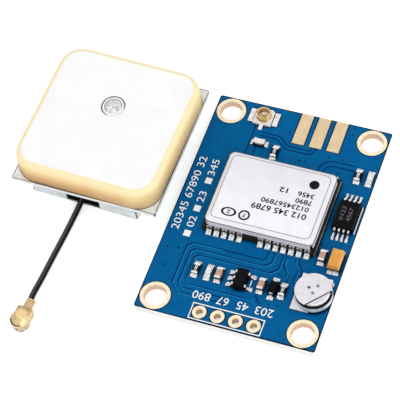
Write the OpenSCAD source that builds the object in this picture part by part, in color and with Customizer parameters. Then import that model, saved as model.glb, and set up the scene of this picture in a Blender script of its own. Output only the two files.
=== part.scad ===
// Satellite receiver board with its plug-in patch antenna.
// X runs along the board's short side, Y along its long side and Z is up.
// The origin is the centre of the four mounting holes, on the board's underside.

/* [Circuit board] */
// Short side of the board
board_w = 25.4; // [25:0.1:32]
// Long side of the board
board_l = 35.7; // [35.5:0.1:44]
// Thickness of the board with its lacquer
board_t = 1.2; // [0.8:0.1:1.6]
// Thickness of the blue lacquer on the top face
mask_t = 0.05; // [0.03:0.01:0.08]
// Radius of the board's four corners
board_corner_r = 0.3; // [0.1:0.1:1]
// Distance from the mounting holes to the board's long sides
mount_edge_x = 2.32; // [2.2:0.02:2.6]
// Distance from the mounting holes to the board's short sides
mount_edge_y = 2.25; // [2.2:0.05:2.6]
// Diameter of the mounting holes, inside their plating
mount_hole_d = 3.2; // [2.2:0.1:3.4]
// Diameter of the plated ring round each mounting hole
mount_ring_d = 4.2; // [3.9:0.1:4.3]
// Thickness of plated copper
plating_t = 0.07; // [0.06:0.01:0.1]
// Gap between a plated pad and the lacquer round it
mask_gap = 0.06; // [0.04:0.01:0.1]

/* [Header holes] */
// Number of header holes
header_count = 4; // [2:1:5]
// Distance between header holes
header_pitch = 2.54; // [2.3:0.01:2.6]
// Diameter of the header holes, inside their plating
header_hole_d = 1; // [0.8:0.05:1.1]
// Diameter of the header pads
header_pad_d = 1.9; // [1.6:0.05:2]
// Distance from the header holes to the board's edge
header_edge = 1.5; // [1.3:0.05:1.6]

/* [Edge pads] */
// Width of each pad for an edge connector
edge_pad_w = 1.7; // [1.3:0.05:2]
// Length of each pad for an edge connector
edge_pad_l = 5.1; // [4:0.1:5.4]
// Distance between the edge pads
edge_pad_pitch = 2.54; // [2.4:0.02:2.6]

/* [Print and tracks] */
// Width of a printed line
print_w = 0.15; // [0.1:0.01:0.2]
// Thickness of the print
print_t = 0.03; // [0.02:0.01:0.05]
// Side of each printed square
print_square = 0.95; // [0.6:0.05:1.1]
// Width of a sunk line between tracks
track_gap = 0.2; // [0.1:0.01:0.25]
// Width of the aerial track between its sunk lines
aerial_track_w = 0.38; // [0.3:0.02:0.44]
// Width of the lamp track with one of its sunk lines
lamp_track_w = 0.8; // [0.5:0.05:0.9]

/* [Receiver module] */
// Length of the receiver module along X
module_l = 16; // [15.8:0.1:16.4]
// Width of the receiver module along Y
module_w = 12.2; // [11.8:0.1:12.6]
// Distance between the receiver module and the memory chip
module_gap = 0.89; // [0.6:0.01:1.5]
// Height of the receiver module above the board
module_h = 2.4; // [2.2:0.1:3]
// Thickness of the module's own board
module_board_t = 0.8; // [0.6:0.05:1]
// Distance between neighbouring contacts
contact_pitch = 1.1; // [1.05:0.01:1.12]
// Distance from the first contact to the end of the module
contact_end = 1; // [0.9:0.05:1.1]
// Contacts in the long group of each side
long_group = 7; // [5:1:7]
// Contacts in the short group of each side
short_group = 5; // [3:1:5]
// Radius of the half-round notch at each contact
notch_r = 0.28; // [0.22:0.01:0.3]
// Distance from the module's edge to its metal cover
shield_inset = 0.28; // [0.2:0.02:0.4]
// Sheet thickness of the metal cover
shield_t = 0.2; // [0.12:0.01:0.25]
// Radius of the metal cover's upright corners
shield_corner_r = 0.75; // [0.6:0.05:1]
// Width of the sloping rim round the metal cover's top
shield_rim_w = 0.65; // [0.4:0.05:0.8]
// Height of the sloping rim round the metal cover's top
shield_rim_h = 0.4; // [0.3:0.05:0.5]
// How far the solder foot stands out from the module
foot_l = 0.75; // [0.5:0.05:0.8]
// Width of the solder foot
foot_w = 0.72; // [0.66:0.02:0.8]

/* [Antenna socket] */
// Side of the socket's white base
socket_w = 2.6; // [2.4:0.1:2.8]
// Thickness of the socket's white base
socket_base_t = 0.35; // [0.3:0.05:0.5]
// Outer diameter of the socket's gold ring
socket_ring_d = 2; // [1.8:0.05:2.1]
// Wall of the socket's gold ring
socket_wall = 0.14; // [0.1:0.01:0.2]
// Height of the socket above the board
socket_h = 1.25; // [1.1:0.05:1.4]
// Diameter of the socket's centre pin
socket_pin_d = 0.5; // [0.3:0.05:0.6]
// Width of each side terminal of the socket
socket_side_w = 0.85; // [0.6:0.05:0.9]

/* [Chip parts] */
// Length of a small chip part
chip_l = 1.6; // [1.5:0.02:1.7]
// Width of a small chip part
chip_w = 0.82; // [0.7:0.02:0.86]
// Height of a chip resistor
resistor_h = 0.45; // [0.4:0.01:0.55]
// Height of a chip capacitor
capacitor_h = 0.8; // [0.6:0.05:0.9]
// Height of the aerial coil
coil_h = 0.7; // [0.6:0.05:0.9]
// Height of a lamp with its lens
lamp_h = 0.6; // [0.5:0.05:0.8]
// Length of the metal cap on each end of a chip part
cap_l = 0.32; // [0.2:0.02:0.4]
// Thickness of the metal caps
cap_t = 0.03; // [0.02:0.01:0.05]
// How far the solder runs out past a chip part
solder_l = 0.48; // [0.3:0.02:0.5]
// Width of the solder on a chip part's pad
solder_w = 0.9; // [0.86:0.01:0.92]
// Thickness of the solder at the edge of a pad
solder_t = 0.06; // [0.04:0.01:0.1]

/* [Regulator] */
// Length of the regulator's body
regulator_l = 2.9; // [2.7:0.05:3.1]
// Width of the regulator's body
regulator_w = 1.6; // [1.5:0.02:1.7]
// Height of the regulator's body above the board
regulator_h = 1.15; // [1:0.05:1.3]
// Tip-to-tip width across the regulator's legs
regulator_span = 2.8; // [2.6:0.05:3]
// Distance between the regulator's legs
regulator_pitch = 0.95; // [0.85:0.01:1]
// Width of a regulator leg
regulator_leg_w = 0.4; // [0.3:0.02:0.5]

/* [Memory chip] */
// Width of the memory chip's body along X
memory_w = 3; // [2.8:0.05:3.1]
// Length of the memory chip's body along Y
memory_l = 4.4; // [4.2:0.05:4.6]
// Distance from the memory chip to the board's right side
memory_edge = 0.55; // [0.3:0.05:0.7]
// Height of the memory chip above the board
memory_h = 1.1; // [1:0.05:1.3]
// Tip-to-tip length across the memory chip's legs
memory_span = 6.6; // [6.2:0.05:6.8]
// Distance between the memory chip's legs
memory_pitch = 0.65; // [0.6:0.01:0.68]
// Width of a memory chip leg
memory_leg_w = 0.26; // [0.2:0.01:0.3]

/* [Tantalum capacitor] */
// Length of the tantalum capacitor
tantalum_l = 3.2; // [3:0.05:3.3]
// Width of the tantalum capacitor
tantalum_w = 1.75; // [1.6:0.05:1.8]
// Height of the tantalum capacitor
tantalum_h = 1.6; // [1.4:0.05:1.9]

/* [Diode] */
// Length of the diode's body
diode_l = 1.7; // [1.6:0.02:1.8]
// Width of the diode's body
diode_w = 1.15; // [1.1:0.01:1.2]
// Height of the diode's body
diode_h = 0.95; // [0.8:0.05:1.1]
// Tip-to-tip length across the diode's leads
diode_span = 2.5; // [2.4:0.05:2.7]

/* [Backup cell] */
// Diameter of the backup cell
cell_d = 5.1; // [4.9:0.1:5.3]
// Height of the backup cell without its tabs
cell_h = 1.6; // [1.4:0.05:2]
// Share of the cell's height that its outer can takes
cell_can_share = 0.62; // [0.5:0.02:0.7]
// Sheet thickness of the cell's can and cap
cell_wall = 0.2; // [0.15:0.01:0.25]
// Thickness of the cell's two tabs
tab_t = 0.15; // [0.1:0.01:0.2]
// Diameter of the round part of the top tab
tab_d = 5; // [4.7:0.1:5.1]
// Width across the square corners of the top tab
tab_w = 4.1; // [4.06:0.02:4.3]

/* [Antenna] */
// Side of the square ceramic block
ceramic_w = 21.3; // [20.6:0.1:21.8]
// Thickness of the ceramic block
ceramic_t = 3.6; // [3:0.1:5]
// Radius of the ceramic block's upright corners
ceramic_corner_r = 3.4; // [3:0.1:4.5]
// How far the ceramic block's top edge leans in
ceramic_edge_w = 0.6; // [0.3:0.05:0.6]
// How far down the ceramic block's rounded top edge reaches
ceramic_edge_h = 1.4; // [0.5:0.05:1.4]
// Turn of the ceramic block on its board, in degrees
ceramic_turn = -0.8; // [-2:0.2:2]
// Distance from the silver patch to the ceramic's sides
patch_edge = 0.85; // [0.5:0.05:2]
// Thickness of the silver patch
patch_t = 0.05; // [0.04:0.01:0.1]
// Radius of the silver patch's corners
patch_corner_r = 2.6; // [2:0.1:3]
// Distance from the middle of the patch to its feed pin
feed_offset = 2.1; // [1.5:0.1:3]
// Diameter of the solder dome on the feed pin
dome_d = 2.1; // [1.6:0.1:2.4]
// Height of the solder dome
dome_h = 0.35; // [0.2:0.05:0.5]
// Diameter of the feed pin
feed_pin_d = 0.8; // [0.6:0.05:1]
// Thickness of the adhesive film under the ceramic
film_t = 0.1; // [0.06:0.01:0.2]
// How far the antenna's own circuit board reaches past the ceramic
antenna_board_edge = 0.1; // [0.05:0.05:0.5]
// Thickness of the antenna's own circuit board
antenna_board_t = 0.6; // [0.4:0.05:1]
// Distance from the metal can to the left and right of the antenna's board, on average
can_side_edge = 2.6; // [1.8:0.1:3.2]
// Distance from the metal can to the front and back of the antenna's board, on average
can_end_edge = 1.4; // [1.2:0.05:2.7]
// Turn of the metal can under its board, in degrees
can_turn = -1.4; // [-2:0.2:2]
// Height of the metal can under the antenna
can_h = 3.8; // [3.4:0.1:4.5]
// Sheet thickness of the metal can
can_t = 0.2; // [0.12:0.01:0.25]
// Width of the cable notch in the metal can
notch_w = 5.1; // [3:0.1:5.5]
// Distance between the board's edge and the antenna's board
antenna_gap = 0.9; // [0.3:0.05:4]
// Turn of the antenna about Z, in degrees
antenna_turn = -0.8; // [-4:0.2:0]

/* [Lead and plug] */
// Diameter of the coaxial lead
lead_d = 0.82; // [0.8:0.01:0.84]
// Outer diameter of the plug's mating ring
plug_ring_d = 2.5; // [2.3:0.05:2.7]
// Wall of the plug's mating ring
plug_wall = 0.16; // [0.12:0.01:0.2]
// Height of the plug lying on its mating face
plug_h = 1.8; // [1.7:0.05:2.1]
// Length of the plug's crimped sleeve
crimp_l = 1.5; // [1.2:0.05:1.8]
// Outer diameter of the plug's crimped sleeve
crimp_d = 1.25; // [1.2:0.01:1.3]

/* [Hidden] */
$fn = 40;

// One overrun serves every cut
over = 0.5;
// Free play between pieces that are pushed together
play = 0.02;

// Heights that the board gives; pads on the underside sit just inside its face
core_t = board_t - mask_t;
under_z = mask_t * 0.2;
top_z = board_t;
pad_top_z = core_t + plating_t;

mount_pitch_x = board_w - 2 * mount_edge_x;
mount_pitch_y = board_l - 2 * mount_edge_y;

// Places on the board's top, from its middle. The right column keeps to the board's right side,
// the module to the memory chip, and the row of small parts lies between module and header.
function on_board(shares) = [shares[0] * board_w, shares[1] * board_l];
lamp_y_share = 0.273;
memory_y_share = 0.0826;
memory_capacitor_y_share = -0.109;
tantalum_y_share = -0.1176;
module_y_share = 0.0588;
strip_share = 0.5378;
cell_strip_share = 0.514;
memory_place = [board_w / 2 - memory_edge - memory_w / 2, memory_y_share * board_l];
memory_capacitor_place = [memory_place[0] - memory_w * 0.4257, memory_capacitor_y_share * board_l];
tantalum_place = [memory_place[0] + memory_w * 0.243, tantalum_y_share * board_l];
fix_lamp_place = [board_w / 2 - chip_w * 1.038, lamp_y_share * board_l];
fix_resistor_place = [fix_lamp_place[0] - chip_w * 2.072, lamp_y_share * board_l];
module_place = [memory_place[0] - memory_w / 2 - module_gap - module_l / 2, module_y_share * board_l];
module_top_y = module_place[1] + module_w / 2 + foot_l;
module_bottom_y = module_place[1] - module_w / 2 - foot_l;
socket_place = on_board([-0.2154, 0.4398]);
coil_place = on_board([-0.186, 0.319]);
aerial_resistor_place = [-0.0866 * board_w, module_top_y + chip_l / 2 + solder_l * 1.36];

// The header's row of holes and its printed frame
header_y = -board_l / 2 + header_edge;
header_frame_l = header_pad_d + 4 * print_w;
header_top_y = header_y + header_frame_l / 2;

row_y = module_bottom_y - strip_share * (module_bottom_y - header_top_y);
row_x_shares = [-0.2528, -0.182, -0.1228, 0, 0.113, 0.1787, 0.2307];
row_places = [for (s = row_x_shares) [s * board_w, row_y]];
power_resistor_place = row_places[0];
power_lamp_place = row_places[1];
input_capacitor_place = row_places[2];
regulator_place = row_places[3];
output_capacitor_place = row_places[4];
diode_place = row_places[5];
data_resistor_place = row_places[6];

// The cell lies between the tantalum capacitor's solder and the lower mounting hole's ring
tantalum_foot_y = tantalum_place[1] - tantalum_l / 2 + tantalum_h * 0.12 - solder_l;
ring_top_y = -mount_pitch_y / 2 + mount_ring_d / 2;
cell_place = [board_w / 2 - cell_d * 0.506,
    tantalum_foot_y - cell_strip_share * (tantalum_foot_y - ring_top_y)];

// Moves children to a place on the board's top face
module at_place(place, turn = 0) {
    translate([each place, top_z]) rotate(turn) children();
}

// A rectangle with round corners, centred
module rounded_outline(w, l, r) {
    square([w - 2 * r, l], center = true);
    square([w, l - 2 * r], center = true);
    for (x = [-1, 1], y = [-1, 1])
        translate([x * (w / 2 - r), y * (l / 2 - r)]) circle(r);
}

// A plate with round corners, standing on Z = 0
module rounded_plate(w, l, h, r) {
    linear_extrude(h) rounded_outline(w, l, r);
}

// A block with round upright corners and a round top edge, as one smooth skin
module soft_block(w, l, h, r, edge_w, edge_h, steps = 4) {
    hull()
        for (i = [0 : steps]) {
            a = 90 * i / steps;
            inset = edge_w * (1 - cos(a));
            rounded_plate(w - 2 * inset, l - 2 * inset, h - edge_h * (1 - sin(a)),
                r - min(inset, r / 2), $fn = 32);
        }
}

// The four mounting holes' places
module at_mounts() {
    for (x = [-1, 1], y = [-1, 1])
        translate([x * mount_pitch_x / 2, y * mount_pitch_y / 2, 0]) children();
}

// The header holes' places
module at_header() {
    for (i = [0 : header_count - 1])
        translate([(i - (header_count - 1) / 2) * header_pitch, header_y, 0]) children();
}

// The edge pads' places, counted from the middle pad
edge_pads_x = board_w * 0.1157;
module at_edge_pads(which) {
    for (i = which)
        translate([edge_pads_x + i * edge_pad_pitch, board_l / 2 - edge_pad_l / 2, 0]) children();
}

// A tube with a flat ring at its foot and another at its head
module plated_hole(hole_d, pad_d, foot_z) {
    difference() {
        union() {
            translate([0, 0, foot_z]) cylinder(d = hole_d + 2 * plating_t, h = pad_top_z - foot_z);
            translate([0, 0, core_t]) cylinder(d = pad_d, h = plating_t);
            translate([0, 0, foot_z]) cylinder(d = pad_d, h = mask_t - foot_z);
        }
        translate([0, 0, foot_z - over]) cylinder(d = hole_d, h = board_t + 2 * over);
    }
}

module circuit_board() {
    color("steelblue")
        difference() {
            rounded_plate(board_w, board_l, core_t, board_corner_r);
            at_mounts() {
                translate([0, 0, -over]) cylinder(d = mount_hole_d + 2 * plating_t, h = core_t + 2 * over);
                translate([0, 0, -over]) cylinder(d = mount_ring_d, h = mask_t + over);
            }
            at_header() {
                translate([0, 0, -over]) cylinder(d = header_hole_d + 2 * plating_t, h = core_t + 2 * over);
                translate([0, 0, -over]) cylinder(d = header_pad_d, h = mask_t + over);
            }
            at_edge_pads([-1, 1])
                translate([-edge_pad_w / 2, -edge_pad_l / 2, -over])
                    cube([edge_pad_w, edge_pad_l + over, mask_t + over]);
        }
}

// Length and direction of the step between two points of a route
function step(p, i) = p[i + 1] - p[i];
function left_of(v) = [-v[1], v[0]] / norm(v);
// Mitred offset of a route's point i to its left by distance d
function mitre(p, i, d) =
    i == 0 ? p[0] + d * left_of(step(p, 0)) :
    i == len(p) - 1 ? p[i] + d * left_of(step(p, i - 1)) :
    let (a = left_of(step(p, i - 1)), b = left_of(step(p, i))) p[i] + d * (a + b) / (1 + a * b);
// A closed band along a route, from one side offset to another
function band(p, d1, d2) = concat(
    [for (i = [0 : len(p) - 1]) mitre(p, i, d1)],
    [for (i = [len(p) - 1 : -1 : 0]) mitre(p, i, d2)]);
// Points of an arc from one angle to another
function arc(c, r, a1, a2, n = 6) = [for (i = [0 : n])
    c + r * [cos(a1 + (a2 - a1) * i / n), sin(a1 + (a2 - a1) * i / n)]];

// A list without its first entry
function rest_of(list) = [for (i = [1 : len(list) - 1]) list[i]];

// Gaps in the copper show as sunk lines; their bends, as shares of the board's width and length
gap_shares = [
    [
        [0.085, -0.138], [0.083, -0.168], [0.068, -0.1793], [-0.323, -0.1793], [-0.3524, -0.2],
        [-0.3524, -0.3613], [-0.3012, -0.3992], [-0.03, -0.3992]
    ],
    [
        [0.12, -0.138], [0.12, -0.181], [0.089, -0.2031], [-0.299, -0.2031], [-0.3209, -0.2185],
        [-0.3209, -0.3571], [-0.2933, -0.3768], [-0.035, -0.3768]
    ],
    [
        [0.167, -0.138], [0.167, -0.2017], [0.13, -0.2269], [-0.2717, -0.2269], [-0.2894, -0.24],
        [-0.2894, -0.3361], [-0.2638, -0.3557], [0.079, -0.3557], [0.115, -0.3768]
    ],
    [[0.185, -0.138], [0.185, -0.182], [0.232, -0.217], [0.232, -0.2493]],
    [[0.26, -0.138], [0.262, -0.1625], [0.295, -0.1877], [0.295, -0.235]],
    [[0.099, -0.3333], [0.1457, -0.3697]],
    [[-0.244, 0.398], [-0.244, 0.252]],
    [[-0.2008, 0.297], [-0.2008, 0.252]]
];
gap_routes = [for (route = gap_shares) [for (s = route) on_board(s)]];

// The aerial track's bends, from the socket to the middle edge pad
aerial_y = 0.364 * board_l;
aerial_low_y = 0.3277 * board_l;
aerial_bend_r = (aerial_y - aerial_low_y) * 1.3;
aerial_bend_a = acos(1 - (aerial_y - aerial_low_y) / (2 * aerial_bend_r));
aerial_bend_x = aerial_bend_r * sin(aerial_bend_a);
aerial_mid_x = -0.066 * board_w;
aerial_route = concat(
    [[socket_place[0] + aerial_track_w, aerial_y]],
    arc([aerial_mid_x - aerial_bend_x, aerial_y - aerial_bend_r], aerial_bend_r, 90, 90 - aerial_bend_a, 4),
    rest_of(arc([aerial_mid_x + aerial_bend_x, aerial_low_y + aerial_bend_r], aerial_bend_r,
        270 - aerial_bend_a, 270, 4)),
    arc([edge_pads_x - 2 * aerial_track_w, aerial_low_y + 2 * aerial_track_w], 2 * aerial_track_w, 270,
        315, 2),
    [[edge_pads_x, board_l / 2 - edge_pad_l + aerial_track_w]]
);

// The lamp track leaves the module in a curve and runs to the lamp's resistor
lamp_track_end_x = fix_resistor_place[0] - chip_w;
lamp_track_x = module_place[0] + module_l * 0.27;
lamp_track_y = 0.3123 * board_l;
lamp_bend_r = (lamp_track_y - module_top_y) * 0.8;
function lamp_route(inset) = concat(
    [[lamp_track_x + inset, module_top_y]],
    arc([lamp_track_x + lamp_bend_r, lamp_track_y - lamp_bend_r], lamp_bend_r - inset, 180, 90, 4),
    [[lamp_track_end_x, lamp_track_y - inset]]
);

// Small via marks, as shares of the board
via_shares = [
    [-0.43, -0.302], [-0.453, -0.222], [-0.39, -0.217], [0.181, -0.222], [0.185, -0.3557], [0.232, -0.353],
    [0.06, 0.283], [0.09, 0.283], [0.2875, 0.266], [0.2087, 0.329], [0.2875, 0.329],
    [0.2913, 0.451], [0.2913, 0.485], [-0.05, 0.4], [0.34, -0.055]
];
via_d = 0.3;

module solder_mask() {
    groove_z = core_t + mask_t * 0.3;
    half_gap = track_gap / 2;
    half_aerial = aerial_track_w / 2;
    color("royalblue")
        difference() {
            translate([0, 0, core_t]) rounded_plate(board_w, board_l, mask_t, board_corner_r);
            at_mounts() translate([0, 0, core_t - over])
                cylinder(d = mount_ring_d + 2 * mask_gap, h = mask_t + 2 * over);
            at_header() translate([0, 0, core_t - over])
                cylinder(d = header_pad_d + 2 * mask_gap, h = mask_t + 2 * over);
            at_edge_pads([-1, 0, 1])
                translate([-edge_pad_w / 2 - mask_gap, -edge_pad_l / 2 - mask_gap, core_t - over])
                    cube([edge_pad_w + 2 * mask_gap, edge_pad_l + mask_gap + over, mask_t + 2 * over]);
            translate([0, 0, groove_z])
                linear_extrude(mask_t) {
                    for (route = gap_routes) polygon(band(route, -half_gap, half_gap));
                    for (side = [-1, 1])
                        polygon(band(aerial_route, side * half_aerial, side * (half_aerial + track_gap)));
                    for (inset = [0, lamp_track_w]) polygon(band(lamp_route(inset), 0, track_gap));
                    for (s = via_shares) translate(on_board(s)) circle(d = via_d, $fn = 12);
                }
        }
}

module mounting_hole_plating() {
    color("khaki") at_mounts() plated_hole(mount_hole_d, mount_ring_d, under_z);
}

module header_hole_plating() {
    color("khaki") at_header() plated_hole(header_hole_d, header_pad_d, under_z);
}

module edge_pads() {
    color("burlywood") {
        at_edge_pads([-1, 0, 1])
            translate([-edge_pad_w / 2, -edge_pad_l / 2, core_t]) cube([edge_pad_w, edge_pad_l, plating_t]);
        at_edge_pads([-1, 1])
            translate([-edge_pad_w / 2, -edge_pad_l / 2, under_z])
                cube([edge_pad_w, edge_pad_l, mask_t - under_z]);
    }
}

// Printed outline round the header, three squares left of the module, and two short lines
module_left_x = module_place[0] - module_l / 2;
square_x = -board_w / 2 + (module_left_x + board_w / 2) * 0.635;
square_y_shares = [-0.147, -0.031, 0.1];
module board_print() {
    frame_w = header_count * header_pitch;
    color("white")
        translate([0, 0, top_z])
            linear_extrude(print_t) {
                translate([0, header_y])
                    difference() {
                        square([frame_w, header_frame_l], center = true);
                        square([frame_w - 2 * print_w, header_frame_l - 2 * print_w], center = true);
                    }
                for (s = square_y_shares)
                    translate([square_x, s * board_l]) square(print_square, center = true);
                translate([memory_place[0] + memory_w / 2 + print_w, memory_place[1]])
                    square([print_w, memory_l], center = true);
                translate([regulator_place[0] + regulator_span / 2, regulator_place[1]])
                    square([print_w, regulator_pitch], center = true);
            }
}

// Solder at both ends of a part that lies along Y: a thin pad and a hollow fillet.
// It starts under the part's end and climbs its end face.
module end_solder(length, width, rise, reach = solder_l) {
    for (turn = [0, 180])
        rotate(turn)
            translate([width / 2, length / 2, 0])
                rotate([90, 0, -90])
                    linear_extrude(width)
                        polygon(concat(
                            [[0, 0], [-reach, 0], [-reach, solder_t]],
                            [for (a = [15 : 15 : 90])
                                [-reach * (1 - sin(a)), solder_t + (rise - solder_t) * (1 - cos(a))]]));
}

module module_at() { at_place(module_place) children(); }

// Calls children at each contact of the module, with the module's inside at +Y
short_start = -module_l / 2 + contact_end;
long_start = module_l / 2 - contact_end - (long_group - 1) * contact_pitch;
contact_xs = concat(
    [for (i = [0 : short_group - 1]) short_start + i * contact_pitch],
    [for (i = [0 : long_group - 1]) long_start + i * contact_pitch]);
module at_contacts() {
    for (side = [0, 1])
        mirror([0, side, 0])
            for (x = contact_xs)
                translate([x, -module_w / 2, 0]) children();
}

module module_board() {
    color("darkslategray")
        module_at()
            difference() {
                translate([-module_l / 2, -module_w / 2, 0]) cube([module_l, module_w, module_board_t]);
                at_contacts() translate([0, 0, -over])
                    cylinder(r = notch_r, h = module_board_t + 2 * over, $fn = 16);
            }
}

module module_contacts() {
    wall = notch_r * 0.2;
    land_l = shield_inset * 0.9;
    color("gold")
        module_at()
            at_contacts()
                intersection() {
                    difference() {
                        union() {
                            cylinder(r = notch_r, h = module_board_t + plating_t, $fn = 16);
                            translate([-foot_w / 2, 0, module_board_t]) cube([foot_w, land_l, plating_t]);
                        }
                        translate([0, 0, -over]) cylinder(r = notch_r - wall, h = module_h, $fn = 16);
                    }
                    translate([-foot_w, 0, -over]) cube([2 * foot_w, module_w / 4, module_h]);
                }
}

module module_solder() {
    rise = module_board_t * 0.8;
    color("gainsboro")
        module_at()
            at_contacts()
                translate([foot_w / 2, 0, 0])
                    rotate([90, 0, -90])
                        linear_extrude(foot_w)
                            polygon(concat(
                                [[0, 0], [foot_l, 0], [foot_l, solder_t]],
                                [for (a = [15 : 15 : 90])
                                    [foot_l * (1 - sin(a)), solder_t + (rise - solder_t) * (1 - cos(a))]]));
}

// Drawn sheet cover with a sloping rim, open below, with a slot at each upright corner
shield_l = module_l - 2 * shield_inset;
shield_w = module_w - 2 * shield_inset;
shield_h = module_h - module_board_t;
module shield_skin(inset, height) {
    rim_inset = shield_rim_w - inset / 2;
    rim_h = shield_rim_h - inset / 2;
    hull() {
        rounded_plate(shield_l - 2 * inset, shield_w - 2 * inset, height - rim_h, shield_corner_r - inset,
            $fn = 32);
        rounded_plate(shield_l - 2 * (inset + rim_inset), shield_w - 2 * (inset + rim_inset), height,
            shield_corner_r - inset, $fn = 32);
    }
}
module module_shield() {
    slot = 2 * shield_t;
    slot_h = shield_h - shield_rim_h - plating_t;
    color("lightgray")
        module_at()
            translate([0, 0, module_board_t + plating_t])
                difference() {
                    shield_skin(0, shield_h - plating_t);
                    translate([0, 0, -shield_t]) shield_skin(shield_t, shield_h - plating_t);
                    for (x = [-1, 1], y = [-1, 1])
                        translate([x * shield_l / 2, y * shield_w / 2, slot_h / 2 - over])
                            rotate(45) cube([slot, 2 * shield_corner_r, slot_h + over], center = true);
                }
}

// Parts that the cover hides, each a plain block on the module's board
module hidden_block(place_shares, size_shares, height_share) {
    size = [shield_l * size_shares[0], shield_w * size_shares[1], (shield_h - 2 * shield_t) * height_share];
    module_at()
        translate([place_shares[0] * shield_l - size[0] / 2, place_shares[1] * shield_w - size[1] / 2,
            module_board_t])
            cube(size);
}
module receiver_chip() { color("dimgray") hidden_block([0.12, 0, 0], [0.33, 0.43], 0.7); }
module module_crystal() { color("silver") hidden_block([-0.2, 0.22], [0.16, 0.18], 0.6); }
module module_filter() { color("tan") hidden_block([-0.33, -0.22], [0.1, 0.1], 0.5); }
module module_amplifier() { color("black") hidden_block([-0.17, -0.22], [0.08, 0.1], 0.45); }

// Socket: the metal ring has a flange and two side terminals
socket_half = socket_w / 2;
socket_ring_h = socket_h - socket_base_t;
module socket_at() { at_place(socket_place) children(); }

module socket_base() {
    color("whitesmoke")
        socket_at()
            difference() {
                translate([-socket_half, -socket_half, 0]) cube([socket_w, socket_w, socket_base_t]);
                for (x = [-1, 1])
                    translate([x * socket_half, socket_half, -over])
                        rotate(45) cube([socket_wall * 3, socket_wall * 3, 3 * socket_h], center = true);
                translate([0, 0, -over]) cylinder(d = socket_pin_d, h = socket_base_t + 2 * over);
                translate([-socket_pin_d / 2, -socket_half - over, -over])
                    cube([socket_pin_d, socket_half + over, over + socket_wall]);
            }
}

module socket_shell() {
    side = socket_side_w + socket_wall;
    color("gold")
        socket_at() {
            translate([0, 0, socket_base_t])
                difference() {
                    union() {
                        cylinder(d = socket_ring_d, h = socket_ring_h);
                        translate([-socket_ring_d / 2 - socket_wall, -socket_half * 0.6, 0])
                            cube([socket_ring_d + 2 * socket_wall, 1.2 * socket_half, socket_wall]);
                    }
                    translate([0, 0, -over])
                        cylinder(d = socket_ring_d - 2 * socket_wall, h = socket_h + over);
                    translate([0, 0, socket_ring_h * 0.55])
                        rotate_extrude() translate([socket_ring_d / 2, 0]) circle(socket_wall / 3, $fn = 16);
                }
            for (x = [0, 1])
                mirror([x, 0, 0])
                    translate([socket_half, -socket_side_w * 1.3, 0])
                        cube([socket_side_w, socket_side_w * 2.6, socket_wall]);
        }
}

module socket_pin() {
    color("gold")
        socket_at() {
            cylinder(d = socket_pin_d, h = socket_h - socket_pin_d / 2);
            translate([0, 0, socket_h - socket_pin_d / 2]) sphere(d = socket_pin_d, $fn = 24);
            translate([-socket_pin_d / 2, -socket_half - socket_side_w, 0])
                cube([socket_pin_d, socket_half + socket_side_w, socket_wall]);
        }
}

// Ceramic block of a chip part along Y, and the metal caps on its ends
module chip_block(height) {
    translate([-chip_w / 2 + cap_t, -chip_l / 2 + cap_t, cap_t])
        cube([chip_w - 2 * cap_t, chip_l - 2 * cap_t, height - 2 * cap_t]);
}
module chip_ends(height) {
    for (turn = [0, 180])
        rotate(turn)
            difference() {
                translate([-chip_w / 2, chip_l / 2 - cap_l, 0]) cube([chip_w, cap_l, height]);
                translate([-chip_w / 2 + cap_t, 0, cap_t])
                    cube([chip_w - 2 * cap_t, chip_l / 2 - cap_t, height - 2 * cap_t]);
            }
}

module aerial_coil() { color("white") at_place(coil_place, 90) chip_block(coil_h); }
module coil_ends() { color("silver") at_place(coil_place, 90) chip_ends(coil_h); }

resistor_places = [
    aerial_resistor_place, fix_resistor_place,
    power_resistor_place, data_resistor_place
];
module resistor(i) { color("black") at_place(resistor_places[i]) chip_block(resistor_h); }
module aerial_resistor() { resistor(0); }
module fix_lamp_resistor() { resistor(1); }
module power_lamp_resistor() { resistor(2); }
module data_resistor() { resistor(3); }
module resistor_ends() {
    color("silver") for (p = resistor_places) at_place(p) chip_ends(resistor_h);
}

capacitor_places = [
    input_capacitor_place, output_capacitor_place, memory_capacitor_place
];
module capacitor(i) { color("rosybrown") at_place(capacitor_places[i]) chip_block(capacitor_h); }
module input_capacitor() { capacitor(0); }
module output_capacitor() { capacitor(1); }
module memory_capacitor() { capacitor(2); }
module capacitor_ends() {
    color("silver") for (p = capacitor_places) at_place(p) chip_ends(capacitor_h);
}

// A lamp is a thin white base with a clear block moulded on it
lamp_places = [fix_lamp_place, power_lamp_place];
lamp_base_t = lamp_h * 0.4;
module lamp_base(i) { color("ivory") at_place(lamp_places[i]) chip_block(lamp_base_t); }
module lamp_lens(i) {
    foot = [chip_w - 2 * cap_t, chip_l - 2 * cap_l];
    draft = lamp_h * 0.1;
    color("lightcyan")
        at_place(lamp_places[i])
            translate([0, 0, lamp_base_t])
                hull() {
                    translate([-foot[0] / 2, -foot[1] / 2, 0]) cube([foot[0], foot[1], draft]);
                    translate([-foot[0] / 2 + draft, -foot[1] / 2 + draft, 0])
                        cube([foot[0] - 2 * draft, foot[1] - 2 * draft, lamp_h - lamp_base_t]);
                }
}
module fix_lamp_base() { lamp_base(0); }
module power_lamp_base() { lamp_base(1); }
module fix_lamp_lens() { lamp_lens(0); }
module power_lamp_lens() { lamp_lens(1); }
module lamp_ends() {
    color("silver") for (p = lamp_places) at_place(p) chip_ends(lamp_base_t);
}

// A moulded body: its sides lean in above and below the leg line
module moulded_body(w, l, h, lift) {
    lean = (h - lift) * 0.12;
    leg_line = lift + (h - lift) / 2;
    module slice(z, inset) {
        translate([-w / 2 + inset, -l / 2 + inset, z - over / 100])
            cube([w - 2 * inset, l - 2 * inset, over / 50]);
    }
    hull() {
        slice(lift + over / 100, lean);
        slice(leg_line, 0);
        slice(h - over / 100, lean);
    }
}

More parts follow.
